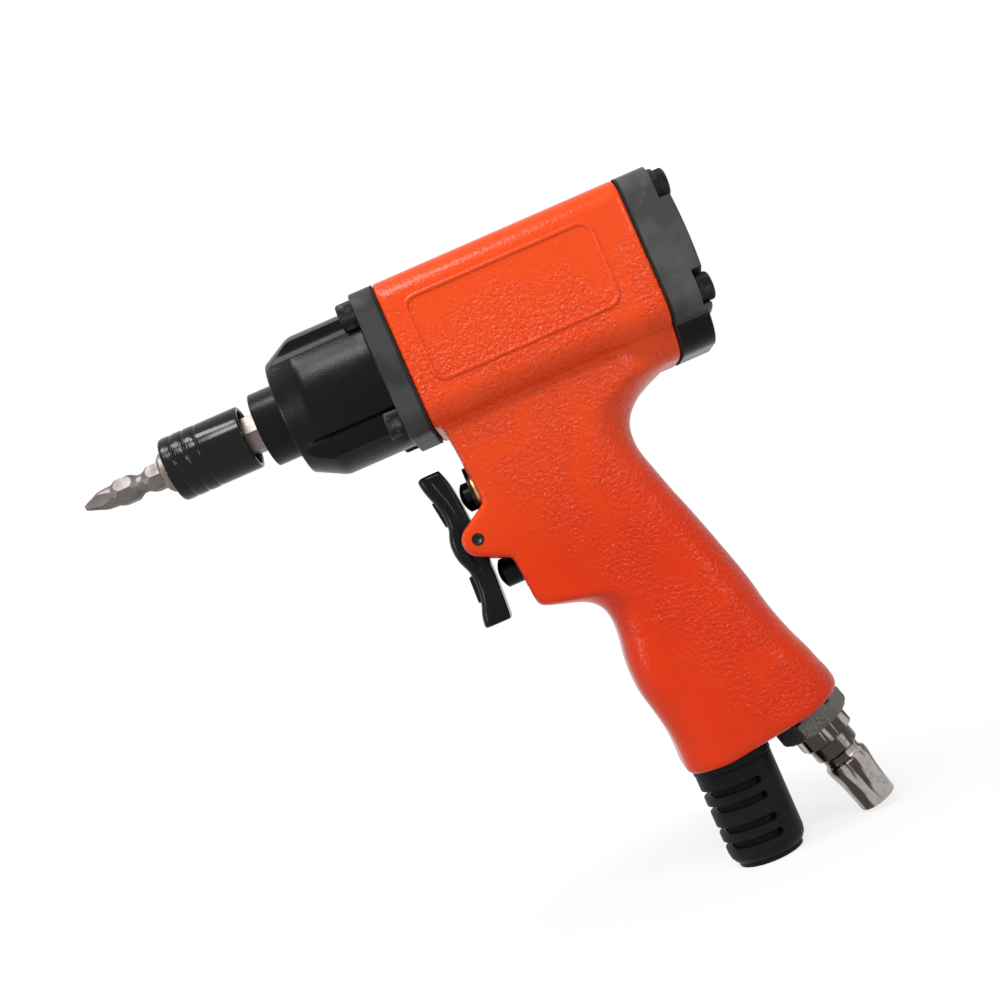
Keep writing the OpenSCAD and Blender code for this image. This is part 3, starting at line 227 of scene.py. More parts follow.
# Finishes
def orange_paint():
    """Thick paint over a coarse casting: a fine skin all over, and pebbles of about a
    millimetre low on the body and down the back of the grip. Painted shade darkens it down the
    grip, and in the hollows between crowded pebbles."""
    f = Finish("orange_paint")
    x, z = f.part("X"), f.part("Z")
    behind = f.ramp(x - z * 0.45, -0.050, -0.064) * f.ramp(z, 0.016, -0.008)
    dense = behind * (0.3 + 0.7 * f.ramp(f.noise(13.0, 2.0), 0.36, 0.52))
    cell = f.node("ShaderNodeTexVoronoi", {"feature": "SMOOTH_F1"}, {
        "Vector": f.place(), "Scale": 1000.0 / 1.05, "Smoothness": 0.6}, out="Distance")
    skin = f.noise(0.7, 1.5)
    pebble = f.ramp(cell, 0.65, 0.12) * 0.5 + f.ramp(skin, 0.34, 0.66) * 0.5
    height = pebble * (0.14 + 0.86 * dense)
    # Painted shade: the paint turns darker down the grip, where less light falls.
    colour = f.mix(f.ramp(z, -0.024, -0.060), srgb(220, 72, 24), srgb(204, 46, 0))
    colour = f.mix(f.ramp(f.noise(16.0), 0.3, 0.7) * 0.3, colour, srgb(226, 62, 8))
    # Painted shade: darker in the hollows between the pebbles where they crowd.
    colour = f.mix((1.0 - pebble) * dense * 0.4, colour, srgb(186, 34, 0))
    return f.surface(
        Base_Color=colour, Roughness=0.18 + 0.1 * skin, Normal=f.bump(height, 0.27),
        Specular_IOR_Level=0.18)


def black_coat(name, level, rough, specular, second, edge, second_level, second_rough):
    """Black coat on a casting, with fine grain, faint grey rubs and darker clouds. Past the
    edge along the second axis, the coat is of the other colour and gloss. The lighter of the two
    greys is partly another coat and partly a painted reflection of a soft light."""
    f = Finish(name)
    grain = f.noise(0.5, 3.0, 0.55)
    dim = f.ramp(f.noise(11.0, 2.0), 0.44, 0.62)
    cloud = f.ramp(f.noise(5.0, 3.0, 0.55), 0.35, 0.7)
    rub = f.ramp(f.noise(2.2, 4.0, 0.6), 0.60, 0.74)
    other = f.ramp(f.part(second), edge + 0.0002, edge - 0.0002)
    colour = f.mix(other, srgb(*level), srgb(*second_level))
    colour = f.mix(dim * 0.45, colour, srgb(*(v * 0.4 for v in level)))
    colour = f.mix(rub * 0.25, colour, srgb(*(v + 28 for v in level)))
    gloss = rough + (second_rough - rough) * other
    return f.surface(
        Base_Color=colour, Roughness=gloss + 0.1 * grain + 0.06 * cloud,
        Normal=f.bump(grain, 0.03), Specular_IOR_Level=specular)


def moulded_plastic(name, level, rough, specular, grain_depth, ring_mm=None):
    """Black moulded plastic: dull, with a fine spark-eroded grain, and a dark joint line
    round it at one height if ring_mm is given."""
    f = Finish(name)
    grain = f.noise(0.35, 2.0)
    tone = f.ramp(f.noise(7.0), 0.35, 0.7)
    speck = f.ramp(f.noise(0.5, 1.0), 0.62, 0.72)
    colour = f.mix(tone, srgb(*level), srgb(*(v + 6 for v in level)))
    colour = f.mix(speck * 0.35, colour, srgb(*(v + 30 for v in level)))
    height = grain
    if ring_mm is not None:
        off = f.part("Z") * 1000.0 - ring_mm
        joint = f.ramp(off * off, 0.1, 0.01)
        colour = f.mix(joint * 0.9, colour, srgb(3, 3, 3))
        height = grain - joint * 3.0
    return f.surface(
        Base_Color=colour, Roughness=rough + 0.12 * grain, Normal=f.bump(height, grain_depth),
        Specular_IOR_Level=specular)


def lacquered_sleeve():
    """Deep black gloss over turned steel, with fine scuffs that run round it."""
    f = Finish("sleeve_coat")
    scuff = f.noise(0.9, 3.0, 0.55, f.stretched((1.0, 0.22, 0.22)), distortion=1.2)
    grain = f.noise(0.4, 2.0)
    front = f.ramp(f.part("X"), -0.0125, -0.0095)
    worn = f.ramp(scuff, 0.6, 0.72) * front
    return f.surface(
        Base_Color=f.mix(worn * 0.25, srgb(6, 6, 7), srgb(48, 46, 46)),
        Roughness=0.1 + 0.08 * grain + 0.08 * worn,
        Normal=f.bump(scuff * (0.12 + 0.88 * front) + grain * 0.05, 0.13), Specular_IOR_Level=0.22)


def turned_steel(name, tone, rough, stretch=(1.0, 0.05, 0.05), grain_mm=0.25,
                 stain_share=0.4, cut=0.012):
    """Machined metal: fine lines round the axis, and darker marks where it is handled."""
    f = Finish(name)
    lines = f.noise(grain_mm, 3.0, 0.6, f.stretched(stretch))
    stain = f.ramp(f.noise(3.5, 4.0, 0.6), 0.45, 0.7)
    light = tuple(min(1.0, v * 1.1) for v in tone)
    dark = tuple(v * 0.5 for v in tone)
    colour = f.mix(stain * stain_share, f.mix(lines, tone, light), dark)
    return f.surface(
        Base_Color=colour, Metallic=1.0, Roughness=rough + 0.14 * lines + 0.08 * stain,
        Normal=f.bump(lines, cut))


def banded_reflection_steel():
    """Plug: bright steel with long dark bands down its axis that are painted reflections, and
    darker brownish blots.
    """
    f = Finish("plug_steel")
    lean = f.node("ShaderNodeMapping", {"vector_type": "TEXTURE"}, {
        "Vector": f.place(), "Rotation": (0.0, BUTT_TILT, 0.0), "Scale": (1.0, 1.0, 9.0)})
    # Painted reflections: long dark bands down the axis stand for dark surroundings mirrored in
    # the steel.
    painted_reflection_band = f.ramp(f.noise(2.6, 2.0, 0.5, lean), 0.45, 0.52)
    lines = f.noise(0.22, 2.0, 0.6, lean)
    blot = f.ramp(f.noise(2.2, 3.0, 0.6), 0.48, 0.66)
    colour = f.mix(painted_reflection_band * 0.92, (0.40, 0.365, 0.35), (0.03, 0.022, 0.019))
    colour = f.mix(blot * 0.35, colour, (0.07, 0.05, 0.045))
    return f.surface(
        Base_Color=colour, Metallic=1.0, Roughness=0.2 + 0.1 * lines + 0.08 * blot,
        Normal=f.bump(lines, 0.02))


def sawn_steel():
    """Adapter: dark grey steel, with coarse lighter specks and lighter patches at random."""
    f = Finish("adapter_steel")
    grain = f.noise(0.4, 3.0, 0.65)
    speck = f.ramp(grain, 0.4, 0.66)
    patch = f.ramp(f.noise(4.0), 0.35, 0.6)
    colour = f.mix(speck, (0.06, 0.057, 0.055), (0.17, 0.162, 0.155))
    colour = f.mix(patch * 0.4, colour, (0.13, 0.125, 0.12))
    return f.surface(
        Base_Color=colour, Metallic=1.0, Roughness=0.46 + 0.14 * grain, Normal=f.bump(grain, 0.06))


def oxide_steel(name, worn_share):
    """Blackened steel, worn to grey in spots."""
    f = Finish(name)
    grain = f.noise(0.3)
    worn = f.ramp(f.noise(1.8, 4.0, 0.65), 0.52, 0.74)
    colour = f.mix(worn * worn_share, srgb(28, 26, 26), srgb(86, 82, 81))
    return f.surface(
        Base_Color=colour, Metallic=0.6, Roughness=0.36 + 0.14 * grain,
        Normal=f.bump(grain, 0.015), Specular_IOR_Level=0.3)


def soft_rubber():
    """Dull black rubber."""
    f = Finish("seal_rubber")
    grain = f.noise(0.5)
    return f.surface(
        Base_Color=f.mix(grain, srgb(20, 20, 21), srgb(34, 34, 35)), Roughness=0.6 + 0.15 * grain,
        Normal=f.bump(grain, 0.01), Specular_IOR_Level=0.25)


def brass_with_painted_shade():
    """Brass, darker towards the middle of the upper valve by painted shade round the button; its
    rim stays bright.
    """
    f = Finish("brass_with_painted_shade")
    centred = f.node("ShaderNodeMapping", {}, {
        "Vector": f.place(), "Location": (0.0, 0.0, -UPPER_VALVE_Z * MM)})
    across = f.node("ShaderNodeVectorMath", {"operation": "MULTIPLY"}, {
        0: centred, 1: (0.0, 1.0, 1.0)})
    away = f.node("ShaderNodeVectorMath", {"operation": "LENGTH"}, {0: across}, out=1)
    rim = f.ramp(away, 0.0058, 0.0063)
    lines = f.noise(0.25, 3.0, 0.6)
    # Painted shade: dark inside the rim, round the button.
    colour = f.mix(rim, (0.10, 0.06, 0.03), (0.72, 0.47, 0.17))
    return f.surface(
        Base_Color=f.mix(lines * 0.4, colour, (0.2, 0.12, 0.05)), Metallic=1.0,
        Roughness=0.26 + 0.14 * lines, Normal=f.bump(lines, 0.012))


def pressed_fibre(name, light, dark, size_mm):
    """Pressed fibre or felt: short threads that cross each other."""
    f = Finish(name)
    along = f.noise(size_mm, 4.0, 0.6, f.stretched((1.0, 1.0, 0.2)))
    across = f.noise(size_mm, 4.0, 0.6, f.stretched((0.2, 1.0, 1.0)))
    thread = (along + across) * 0.5
    return f.surface(
        Base_Color=f.mix(f.ramp(thread, 0.35, 0.65), dark, light), Roughness=0.85 + 0.1 * thread,
        Normal=f.bump(thread, 0.08), Specular_IOR_Level=0.2)


finishes = {
    "paint": orange_paint(),
    # The flange's lighter grey is partly a painted reflection of a soft light.
    "case": black_coat("case_coat", (9, 9, 10), 0.2, 0.13, "X", -0.0607, (58, 58, 59), 0.4),
    # The cover's lighter grey above the lobe is partly a painted reflection of a soft light.
    "cover": black_coat("cover_coat", (76, 75, 75), 0.4, 0.1, "Z", -0.0192, (8, 8, 9), 0.18),
    "sleeve": lacquered_sleeve(),
    "plastic": moulded_plastic("black_plastic", (13, 12, 12), 0.2, 0.1, 0.02),
    "trigger": moulded_plastic("trigger_plastic", (8, 8, 9), 0.16, 0.12, 0.003),
    "muffler": moulded_plastic("muffler_plastic", (19, 19, 19), 0.4, 0.08, 0.05, -GRIP_DROP - 2.3),
    "oxide": oxide_steel("black_oxide", 0.5),
    "screw": oxide_steel("screw_oxide", 0.7),
    "adapter": sawn_steel(),
    "plug": banded_reflection_steel(),
    "bright": turned_steel("bright_steel", (0.58, 0.54, 0.52), 0.24),
    "chuck": turned_steel("chuck_steel", (0.2, 0.172, 0.16), 0.34, cut=0.006),
    "bit": turned_steel("bit_steel", (0.165, 0.146, 0.139), 0.4, (0.3, 1.0, 1.0), 0.6, 0.5, 0.004),
    "dull": turned_steel("dull_steel", (0.4, 0.4, 0.41), 0.36),
    "spring": turned_steel("spring_steel", (0.5, 0.5, 0.5), 0.3, (1.0, 1.0, 1.0), 0.4),
    "brass": turned_steel("brass", (0.68, 0.48, 0.2), 0.3),
    "valve": brass_with_painted_shade(),
    "rubber": soft_rubber(),
    "gasket": pressed_fibre("gasket_fibre", srgb(44, 42, 41), srgb(24, 23, 23), 0.5),
    "vane": pressed_fibre("vane_composite", srgb(150, 110, 62), srgb(108, 76, 40), 0.7),
    # The felt is darkened partly as painted shade, to stand for the deep shade in the muffler's
    # slots.
    "felt": pressed_fibre("muffler_felt", srgb(40, 38, 36), srgb(22, 21, 20), 0.7),
}
FINISH_OF = {
    "paint": "housing",
    "case": "hammer_case",
    "cover": "rear_cover",
    "sleeve": "chuck_sleeve",
    "plastic": "upper_valve_button lower_valve_button",
    "trigger": "trigger",
    "muffler": "muffler_body muffler_cap",
    "oxide": "valve_retainer trigger_pin",
    "screw": "front_screws rear_screws",
    "adapter": "inlet_adapter",
    "plug": "inlet_plug",
    "bright": "locking_balls bearing_balls hammer_pins liner_pin",
    "bit": "driver_bit",
    "chuck": "anvil",
    "dull": (
        "sleeve_stop_ring spring_clip hammer_cage front_hammer rear_hammer "
        "bearing_outer_rings bearing_inner_rings rotor cylinder_liner "
        "front_end_plate rear_end_plate"),
    "spring": "chuck_spring upper_valve_spring lower_valve_spring",
    "brass": "anvil_bush thrust_washer lower_valve_bush inlet_screen",
    "valve": "upper_valve_bush",
    "rubber": "nose_seal upper_valve_seal lower_valve_seal adapter_seal",
    "gasket": "case_gasket rear_gasket",
    "vane": "rotor_vanes",
    "felt": "muffler_element",
}
for key, names in FINISH_OF.items():
    for name in names.split():
        mesh = nodes[name].data
        mesh.materials.clear()
        mesh.materials.append(finishes[key])


# Mesh tools
def add_mesh(name, points_mm, faces, finish):
    """Puts points, in millimetres, and faces into a new object and links it."""
    mesh = bpy.data.meshes.new(name)
    mesh.from_pydata((np.asarray(points_mm, float) * MM).tolist(), [], [list(f) for f in faces])
    mesh.materials.append(finishes[finish])
    mesh.validate()
    mesh.shade_smooth()
    return placed(name, mesh)


def ring_faces(rows, count):
    """Quads between closed rows of count points each."""
    i, j = np.meshgrid(np.arange(rows - 1), np.arange(count), indexing="ij")
    k = (j + 1) % count
    quads = np.stack([i * count + j, i * count + k, (i + 1) * count + k, (i + 1) * count + j], -1)
    return quads.reshape(-1, 4)


def lofted(name, rows, finish):
    """Closed solid through rows of points, each a closed ring; the two ends are fans."""
    rows = np.asarray(rows, float)
    count = rows.shape[1]
    points = np.vstack([rows.reshape(-1, 3), rows[0].mean(0), rows[-1].mean(0)])
    first, last = len(points) - 2, len(points) - 1
    j = np.arange(count)
    k = (j + 1) % count
    base = (len(rows) - 1) * count
    faces = ring_faces(len(rows), count).tolist()
    faces += np.stack([np.full(count, first), k, j], -1).tolist()
    faces += np.stack([np.full(count, last), base + j, base + k], -1).tolist()
    made = add_mesh(name, points, faces, finish)
    outward(made)
    return made


def outward(made):
    """Merges doubles and turns every face outwards."""
    work = bmesh.new()
    work.from_mesh(made.data)
    bmesh.ops.remove_doubles(work, verts=work.verts, dist=1e-6)
    bmesh.ops.recalc_face_normals(work, faces=work.faces)
    work.to_mesh(made.data)
    work.free()


def smooth_between(table, steps):
    """Catmull-Rom curve through the rows of a table, with steps rows to each gap."""
    table = np.asarray(table, float)
    padded = np.vstack([2 * table[0] - table[1], table, 2 * table[-1] - table[-2]])
    t = np.linspace(0, 1, steps, endpoint=False)[None, :, None]
    a, b, c, d = (padded[i:len(padded) - 3 + i][:, None, :] for i in range(4))
    curve = 0.5 * (2 * b + (c - a) * t + (2 * a - 5 * b + 4 * c - d) * t ** 2
                   + (3 * b - a - 3 * c + d) * t ** 3)
    return np.vstack([curve.reshape(-1, table.shape[1]), table[-1]])


def rounded_ring(front, rear, half, front_r, rear_r, steps=16):
    """Rectangle in X and Y with two front and two rear corner radii, as points round it."""
    a = np.linspace(0, np.pi / 2, steps)
    corners = []
    front_x, rear_x = front - front_r, rear + rear_r
    for turn, (cx, cy, r) in enumerate((
            (front_x, half - front_r, front_r), (rear_x, half - rear_r, rear_r),
            (rear_x, rear_r - half, rear_r), (front_x, front_r - half, front_r))):
        angle = a + turn * np.pi / 2
        corners.append(np.stack([cx + r * np.cos(angle), cy + r * np.sin(angle)], -1))
    return np.vstack(corners)


def rounded_rectangle(width, height, radius, steps=16):
    """Rounded rectangle round the origin, as points in a plane."""
    return rounded_ring(width / 2, -width / 2, height / 2, radius, radius, steps)


def applied(made):
    """Turns the modifiers of an object into its mesh."""
    graph = bpy.context.evaluated_depsgraph_get()
    mesh = bpy.data.meshes.new_from_object(made.evaluated_get(graph))
    made.modifiers.clear()
    made.data = mesh
    return made


def joined(name, parts):
    """One object from several; the first gives its materials."""
    work = bmesh.new()
    for part in parts:
        work.from_mesh(part.data)
    mesh = bpy.data.meshes.new(name)
    work.to_mesh(mesh)
    work.free()
    for material in parts[0].data.materials:
        mesh.materials.append(material)
    for part in parts:
        bpy.data.objects.remove(part)
    mesh.shade_smooth()
    return placed(name, mesh)


def bevelled(made, width_mm, angle, harden):
    """Rounds the edges that are sharper than the angle, in degrees."""
    bevel = made.modifiers.new("ease", "BEVEL")
    bevel.width, bevel.segments = width_mm * MM, 2
    bevel.limit_method, bevel.angle_limit = "ANGLE", math.radians(angle)
    bevel.harden_normals, bevel.use_clamp_overlap = harden, True
    applied(made)


def eased(node, width_mm, finish):
    """A copy of a CAD node whose sharp edges are eased by a small rounded bevel."""
    mesh = nodes[node].data.copy()
    made = placed(node + "_eased", mesh)
    mesh.materials.clear()
    mesh.materials.append(finishes[finish])
    work = bmesh.new()
    work.from_mesh(mesh)
    bmesh.ops.remove_doubles(work, verts=work.verts, dist=2e-6)
    bmesh.ops.dissolve_limit(
        work, angle_limit=math.radians(0.5), verts=work.verts, edges=work.edges)
    work.to_mesh(mesh)
    work.free()
    bevelled(made, width_mm, 32.0, True)
    made.data.shade_smooth()
    sharp_by_angle(made, 40.0)
    flat = made.modifiers.new("flat", "WEIGHTED_NORMAL")
    flat.keep_sharp = True
    applied(made)
    return made


def sharp_by_angle(made, angle):
    """Keeps edges sharper than the angle hard, and lets the rest shade smooth."""
    made.data.set_sharp_from_angle(angle=math.radians(angle))


# Rounded and turned reaches
def box_reach(angle, half_w, half_h, corner):
    """Distance from the middle of a rounded rectangle to its outline: to a flat side, or
    where the ray misses the flats, to the circle of the corner."""
    c, s = np.abs(np.cos(angle)), np.abs(np.sin(angle))
    flat = np.minimum(half_w / np.maximum(c, 1e-9), half_h / np.maximum(s, 1e-9))
    a, b = half_w - corner, half_h - corner
    along = a * c + b * s
    curved = along + np.sqrt(np.maximum(0, corner ** 2 - (a * a + b * b - along ** 2)))
    return np.where((flat * c > a) & (flat * s > b), curved, flat)


def hex_reach(angle, across_flats):
    """Distance from the middle of a hexagon to its outline; a flat faces angle 0."""
    turn = np.mod(angle + np.pi / 6, np.pi / 3) - np.pi / 6
    return across_flats / 2 / np.cos(turn)


def groove_reach(angle, centre_angle, centre_off, radius):
    """Distance from the axis to the near side of a round groove beside it, or far away
    where the ray misses the groove."""
    off = np.mod(angle - centre_angle + np.pi, 2 * np.pi) - np.pi
    inside = radius ** 2 - (centre_off * np.sin(off)) ** 2
    reach = centre_off * np.cos(off) - np.sqrt(np.maximum(inside, 0))
    return np.where((inside > 0) & (np.cos(off) > 0), reach, 1e9)


def around(x, reach, angle):
    """Points at stations x and a reach from the spindle; angle 0 is +Y, a quarter turn +Z."""
    x, reach, angle = np.broadcast_arrays(x, reach, angle)
    return np.stack([x, reach * np.cos(angle), reach * np.sin(angle)], -1)


def full_turn(count):
    """Angles once round, as one row."""
    return np.linspace(0, 2 * np.pi, count, endpoint=False)[None, :]


def columns(table):
    """The columns of a table, each as a column that spreads over the angles."""
    return [c[:, None] for c in np.asarray(table, float).T]


def hollow(name, rows, finish):
    """Solid ring through rows of points whose last row joins the first again."""
    rows = np.asarray(rows, float)
    closed = np.vstack([rows, rows[:1]])
    made = add_mesh(name, closed.reshape(-1, 3), ring_faces(len(closed), rows.shape[1]), finish)
    outward(made)
    return made


def cut_or_melted(made, others, operation="DIFFERENCE", solver="EXACT"):
    """Takes the other solids away from one, or adds them, and removes them."""
    for other in others:
        carve = made.modifiers.new("carve", "BOOLEAN")
        carve.operation = operation
        carve.solver = solver
        carve.object = other
    applied(made)
    for other in others:
        bpy.data.objects.remove(other)
    return made


def dressed(made, node, body, crisp):
    """Lets a finished shell stand for its CAD node and ride on that node's body; edges over
    crisp degrees stay hard."""
    made.name = node + "_shell"
    made.data.shade_smooth()
    sharp_by_angle(made, crisp)
    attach(made, body)
    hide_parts(node)


# Housing
GRIP_SHARES = [
    (0.125, 0.030, 0.928, 0.870, 0.13, 0.84, 0), (0.162, 0.032, 0.944, 0.903, 0.14, 0.88, 0),
    (0.195, 0.038, 0.947, 0.903, 0.14, 0.88, 0), (0.213, 0.042, 0.934, 0.903, 0.14, 0.88, 0),
    (0.221, 0.043, 0.902, 0.903, 0.14, 0.88, 0), (0.231, 0.045, 0.854, 0.903, 0.14, 0.87, 0),
    (0.248, 0.046, 0.792, 0.903, 0.14, 0.84, 0), (0.271, 0.051, 0.742, 0.896, 0.14, 0.81, 0),
    (0.297, 0.056, 0.712, 0.890, 0.14, 0.75, 0), (0.328, 0.059, 0.702, 0.883, 0.14, 0.68, 0),
    (0.357, 0.062, 0.707, 0.877, 0.14, 0.65, 0), (0.401, 0.067, 0.731, 0.870, 0.14, 0.62, 0),
    (0.453, 0.078, 0.762, 0.864, 0.14, 0.62, 0), (0.498, 0.088, 0.792, 0.864, 0.15, 0.62, 0),
    (0.542, 0.094, 0.819, 0.864, 0.17, 0.62, 0), (0.560, 0.106, 0.830, 0.864, 0.21, 0.62, 0),
    (0.570, 0.147, 0.837, 0.864, 0.29, 0.62, 0), (0.580, 0.208, 0.842, 0.864, 0.39, 0.62, 0),
    (0.591, 0.266, 0.848, 0.864, 0.49, 0.63, 0), (0.606, 0.307, 0.858, 0.864, 0.55, 0.64, 0),
    (0.627, 0.333, 0.870, 0.870, 0.60, 0.65, 0), (0.656, 0.342, 0.886, 0.877, 0.62, 0.65, 0),
    (0.689, 0.339, 0.902, 0.890, 0.64, 0.65, 0), (0.731, 0.326, 0.918, 0.903, 0.64, 0.65, 0),
    (0.772, 0.322, 0.939, 0.922, 0.64, 0.65, 0), (0.814, 0.328, 0.966, 0.942, 0.64, 0.65, 0),
    (0.855, 0.346, 0.995, 0.961, 0.64, 0.65, 0.10), (0.897, 0.363, 1.016, 0.981, 0.64, 0.65, 0.30),
    (0.934, 0.370, 1.032, 0.994, 0.64, 0.65, 0.60), (0.968, 0.370, 1.042, 1.000, 0.64, 0.65, 0.85),
    (0.985, 0.370, 1.043, 1.000, 0.64, 0.65, 1), (0.995, 0.376, 1.037, 0.974, 0.61, 0.62, 1),
    (1.000, 0.394, 1.019, 0.903, 0.55, 0.56, 1),
]


def grip_rows():
    """Rings down the grip: depth, front, rear, half width and corner radii come from a
    smooth curve through the shares, and the end is lifted behind its bend."""
    slope = math.tan(BUTT_TILT)
    rows = []
    for depth, front, rear, half, front_r, rear_r, lift in smooth_between(GRIP_SHARES, 4):
        half_mm = half * GRIP_W / 2
        ring = rounded_ring(
            FACE_X - front * BODY_LEN, FACE_X - rear * BODY_LEN, half_mm,
            front_r * GRIP_W / 2, rear_r * GRIP_W / 2)
        z = -depth * GRIP_DROP + lift * slope * np.maximum(0, BEND_X - ring[:, 0])
        rows.append(np.column_stack([ring, z]))
    return rows


def bar_rows(x_front, outline, centre_z):
    """Rings of one outline in Y and Z back to the body's rear, drawn in a little at both ends."""
    ease, bend = 0.5, 0.35 * 0.5
    rows = []
    for x, inset in ((x_front, ease), (x_front - bend, bend), (x_front - ease, 0.0),
                     (REAR_X + ease, 0.0), (REAR_X + bend, bend), (REAR_X, ease)):
        y, z = (outline * (1 - inset / outline.max(0))).T
        rows.append(np.column_stack([np.full(len(outline), x), y, z + centre_z]))
    return rows


def rod_between(name, start, end, radius, finish="paint", count=96):
    """Closed cylinder from one point to another."""
    start, end = np.asarray(start, float), np.asarray(end, float)
    axis = (end - start) / np.linalg.norm(end - start)
    side = np.cross(axis, (0, 1, 0) if abs(axis[1]) < 0.9 else (1, 0, 0))
    side /= np.linalg.norm(side)
    other = np.cross(axis, side)
    a = full_turn(count).T
    ring = radius * (np.cos(a) * side + np.sin(a) * other)
    return lofted(name, [start + ring, end + ring], finish)


def ear(side):
    """One ear of the trigger's pin: a round end and two tangents back to the grip, drawn in
    the X and Z plane, carried across its thickness and drawn in round the outer edge."""
    return lofted("ear", [ear_outline(side * y, inset) for y, inset in (
        (7.8, 0.0), (11.7, 0.0), (12.35, 0.16), (12.85, 0.5), (13.15, 1.0), (13.2, 1.4))], "paint")


def ear_outline(y, inset):
    """The ear's outline at one Y, drawn in by inset."""
    c = np.array([PIN_X, PIN_Z])
    r = 4.1 - inset
    top = np.array([FACE_X - 0.07 * BODY_LEN, -0.322 * GRIP_DROP - inset])
    foot = np.array([FACE_X - 0.1 * BODY_LEN, -0.455 * GRIP_DROP + inset])

    def touch(p, turn):
        d = p - c
        return math.atan2(d[1], d[0]) + turn * math.acos(r / np.linalg.norm(d))

    a0, a1 = touch(top, -1), touch(foot, 1)
    while a1 > a0:
        a1 -= 2 * math.pi
    arc = np.linspace(a0, a1, 24)
    loop = np.vstack([top - [6, 0], top, c + r * np.stack([np.cos(arc), np.sin(arc)], -1),
                      foot, foot - [6, 0]])
    return np.column_stack([loop[:, 0], np.full(len(loop), y), loop[:, 1]])


def make_housing():
    """Body, lobe, grip and ears melted into one casting, then bored as the CAD is."""
    body_outline = rounded_rectangle(BODY_W, BODY_H, BODY_R)
    lobe_outline = rounded_rectangle(2 * LOBE_HALF_W, 2 * LOBE_HALF_H, LOBE_R)
    body = lofted("body", bar_rows(FACE_X, body_outline, 0.0), "paint")
    lobe = lofted("lobe", bar_rows(
        REAR_X + 0.36 * BODY_LEN, lobe_outline, -LOBE_HALF_H), "paint")
    grip = lofted("grip", grip_rows(), "paint")
    made = joined("housing_casting", [body, lobe, grip, ear(1), ear(-1)])
    melt = made.modifiers.new("melt", "REMESH")
    melt.mode = "VOXEL"
    melt.voxel_size = 0.56 * MM
    melt.use_smooth_shade = True
    soften = made.modifiers.new("soften", "SMOOTH")
    soften.factor = 0.5
    soften.iterations = 5
    applied(made)
    cuts = []

    def bore(start, end, radius, count):
        cuts.append(rod_between("cut", start, end, radius, "paint", count))

    bore((FACE_X + 2, 0, 0), (REAR_X - 2, 0, 0), 15.5, 128)
    for y in (-SCREW_Y, SCREW_Y):
        for z in (-14.1, 14.1):
            bore((FACE_X + 2, y, z), (FACE_X - 13, y, z), 2.05, 32)
        for z in (-REAR_SCREW_Z, REAR_SCREW_Z):
            bore((REAR_X - 2, y, z), (REAR_X + 13, y, z), 2.05, 32)
    for seat_x, z, spot in (
            (FACE_X - 3.625, UPPER_VALVE_Z, 7.3), (FACE_X - 6.25, LOWER_VALVE_Z, 5.6)):
        bore((seat_x + 6, 0, z), (seat_x, 0, z), spot, 64)
        bore((seat_x + 1, 0, z), (seat_x - 20.8, 0, z), 5.05, 64)
    bore((PIN_X, -19, PIN_Z), (PIN_X, 19, PIN_Z), PIN_HOLE_R, 48)
    muffler = np.array([FACE_X - 34.6, 0, -GRIP_DROP])
    bore(muffler + [0, 0, 10], muffler - [0, 0, 2], 8.05, 96)
    bore(muffler, muffler - [0, 0, 3], 12.0, 96)
    bore(INLET_SEAT - 11 * INLET_DOWN, INLET_SEAT + 2 * INLET_DOWN, 6.45, 96)
    bore(INLET_SEAT, INLET_SEAT + 5 * INLET_DOWN, 11.0, 96)
    cut_or_melted(made, cuts, solver="MANIFOLD")
    made.data.shade_smooth()
    sharp_by_angle(made, 50.0)
    made.data.materials.clear()
    made.data.materials.append(finishes["paint"])
    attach(made, "tool")
    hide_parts("housing")


def raised_line(side):
    """Raised line on one side of the body: a low rounded strip along a rounded rectangle."""
    length, height = 0.772 * BODY_LEN, 0.58 * BODY_H
    middle_x = FACE_X - 0.078 * BODY_LEN - length / 2
    middle_z = 0.024 * BODY_H
    path = rounded_rectangle(length - 1, height - 1, 3.0, 10)
    step = np.roll(path, -1, 0) - np.roll(path, 1, 0)
    step /= np.linalg.norm(step, axis=1)[:, None]
    normal = np.stack([step[:, 1], -step[:, 0]], -1)
    a = full_turn(12)[0]
    rows = []
    for across, out in zip(0.62 * np.cos(a), 0.38 * np.sin(a)):
        along, up = (path + across * normal).T
        y = np.full(len(path), side * (BODY_W / 2 + out))
        rows.append(np.column_stack([middle_x + along, y, middle_z + up]))
    rows.append(rows[0])
    rows = np.asarray(rows)
    made = add_mesh("raised_line_left" if side > 0 else "raised_line_right",
                    rows.reshape(-1, 3), ring_faces(len(rows), len(path)), "paint")
    outward(made)
    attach(made, "tool")


make_housing()
raised_line(1)
raised_line(-1)


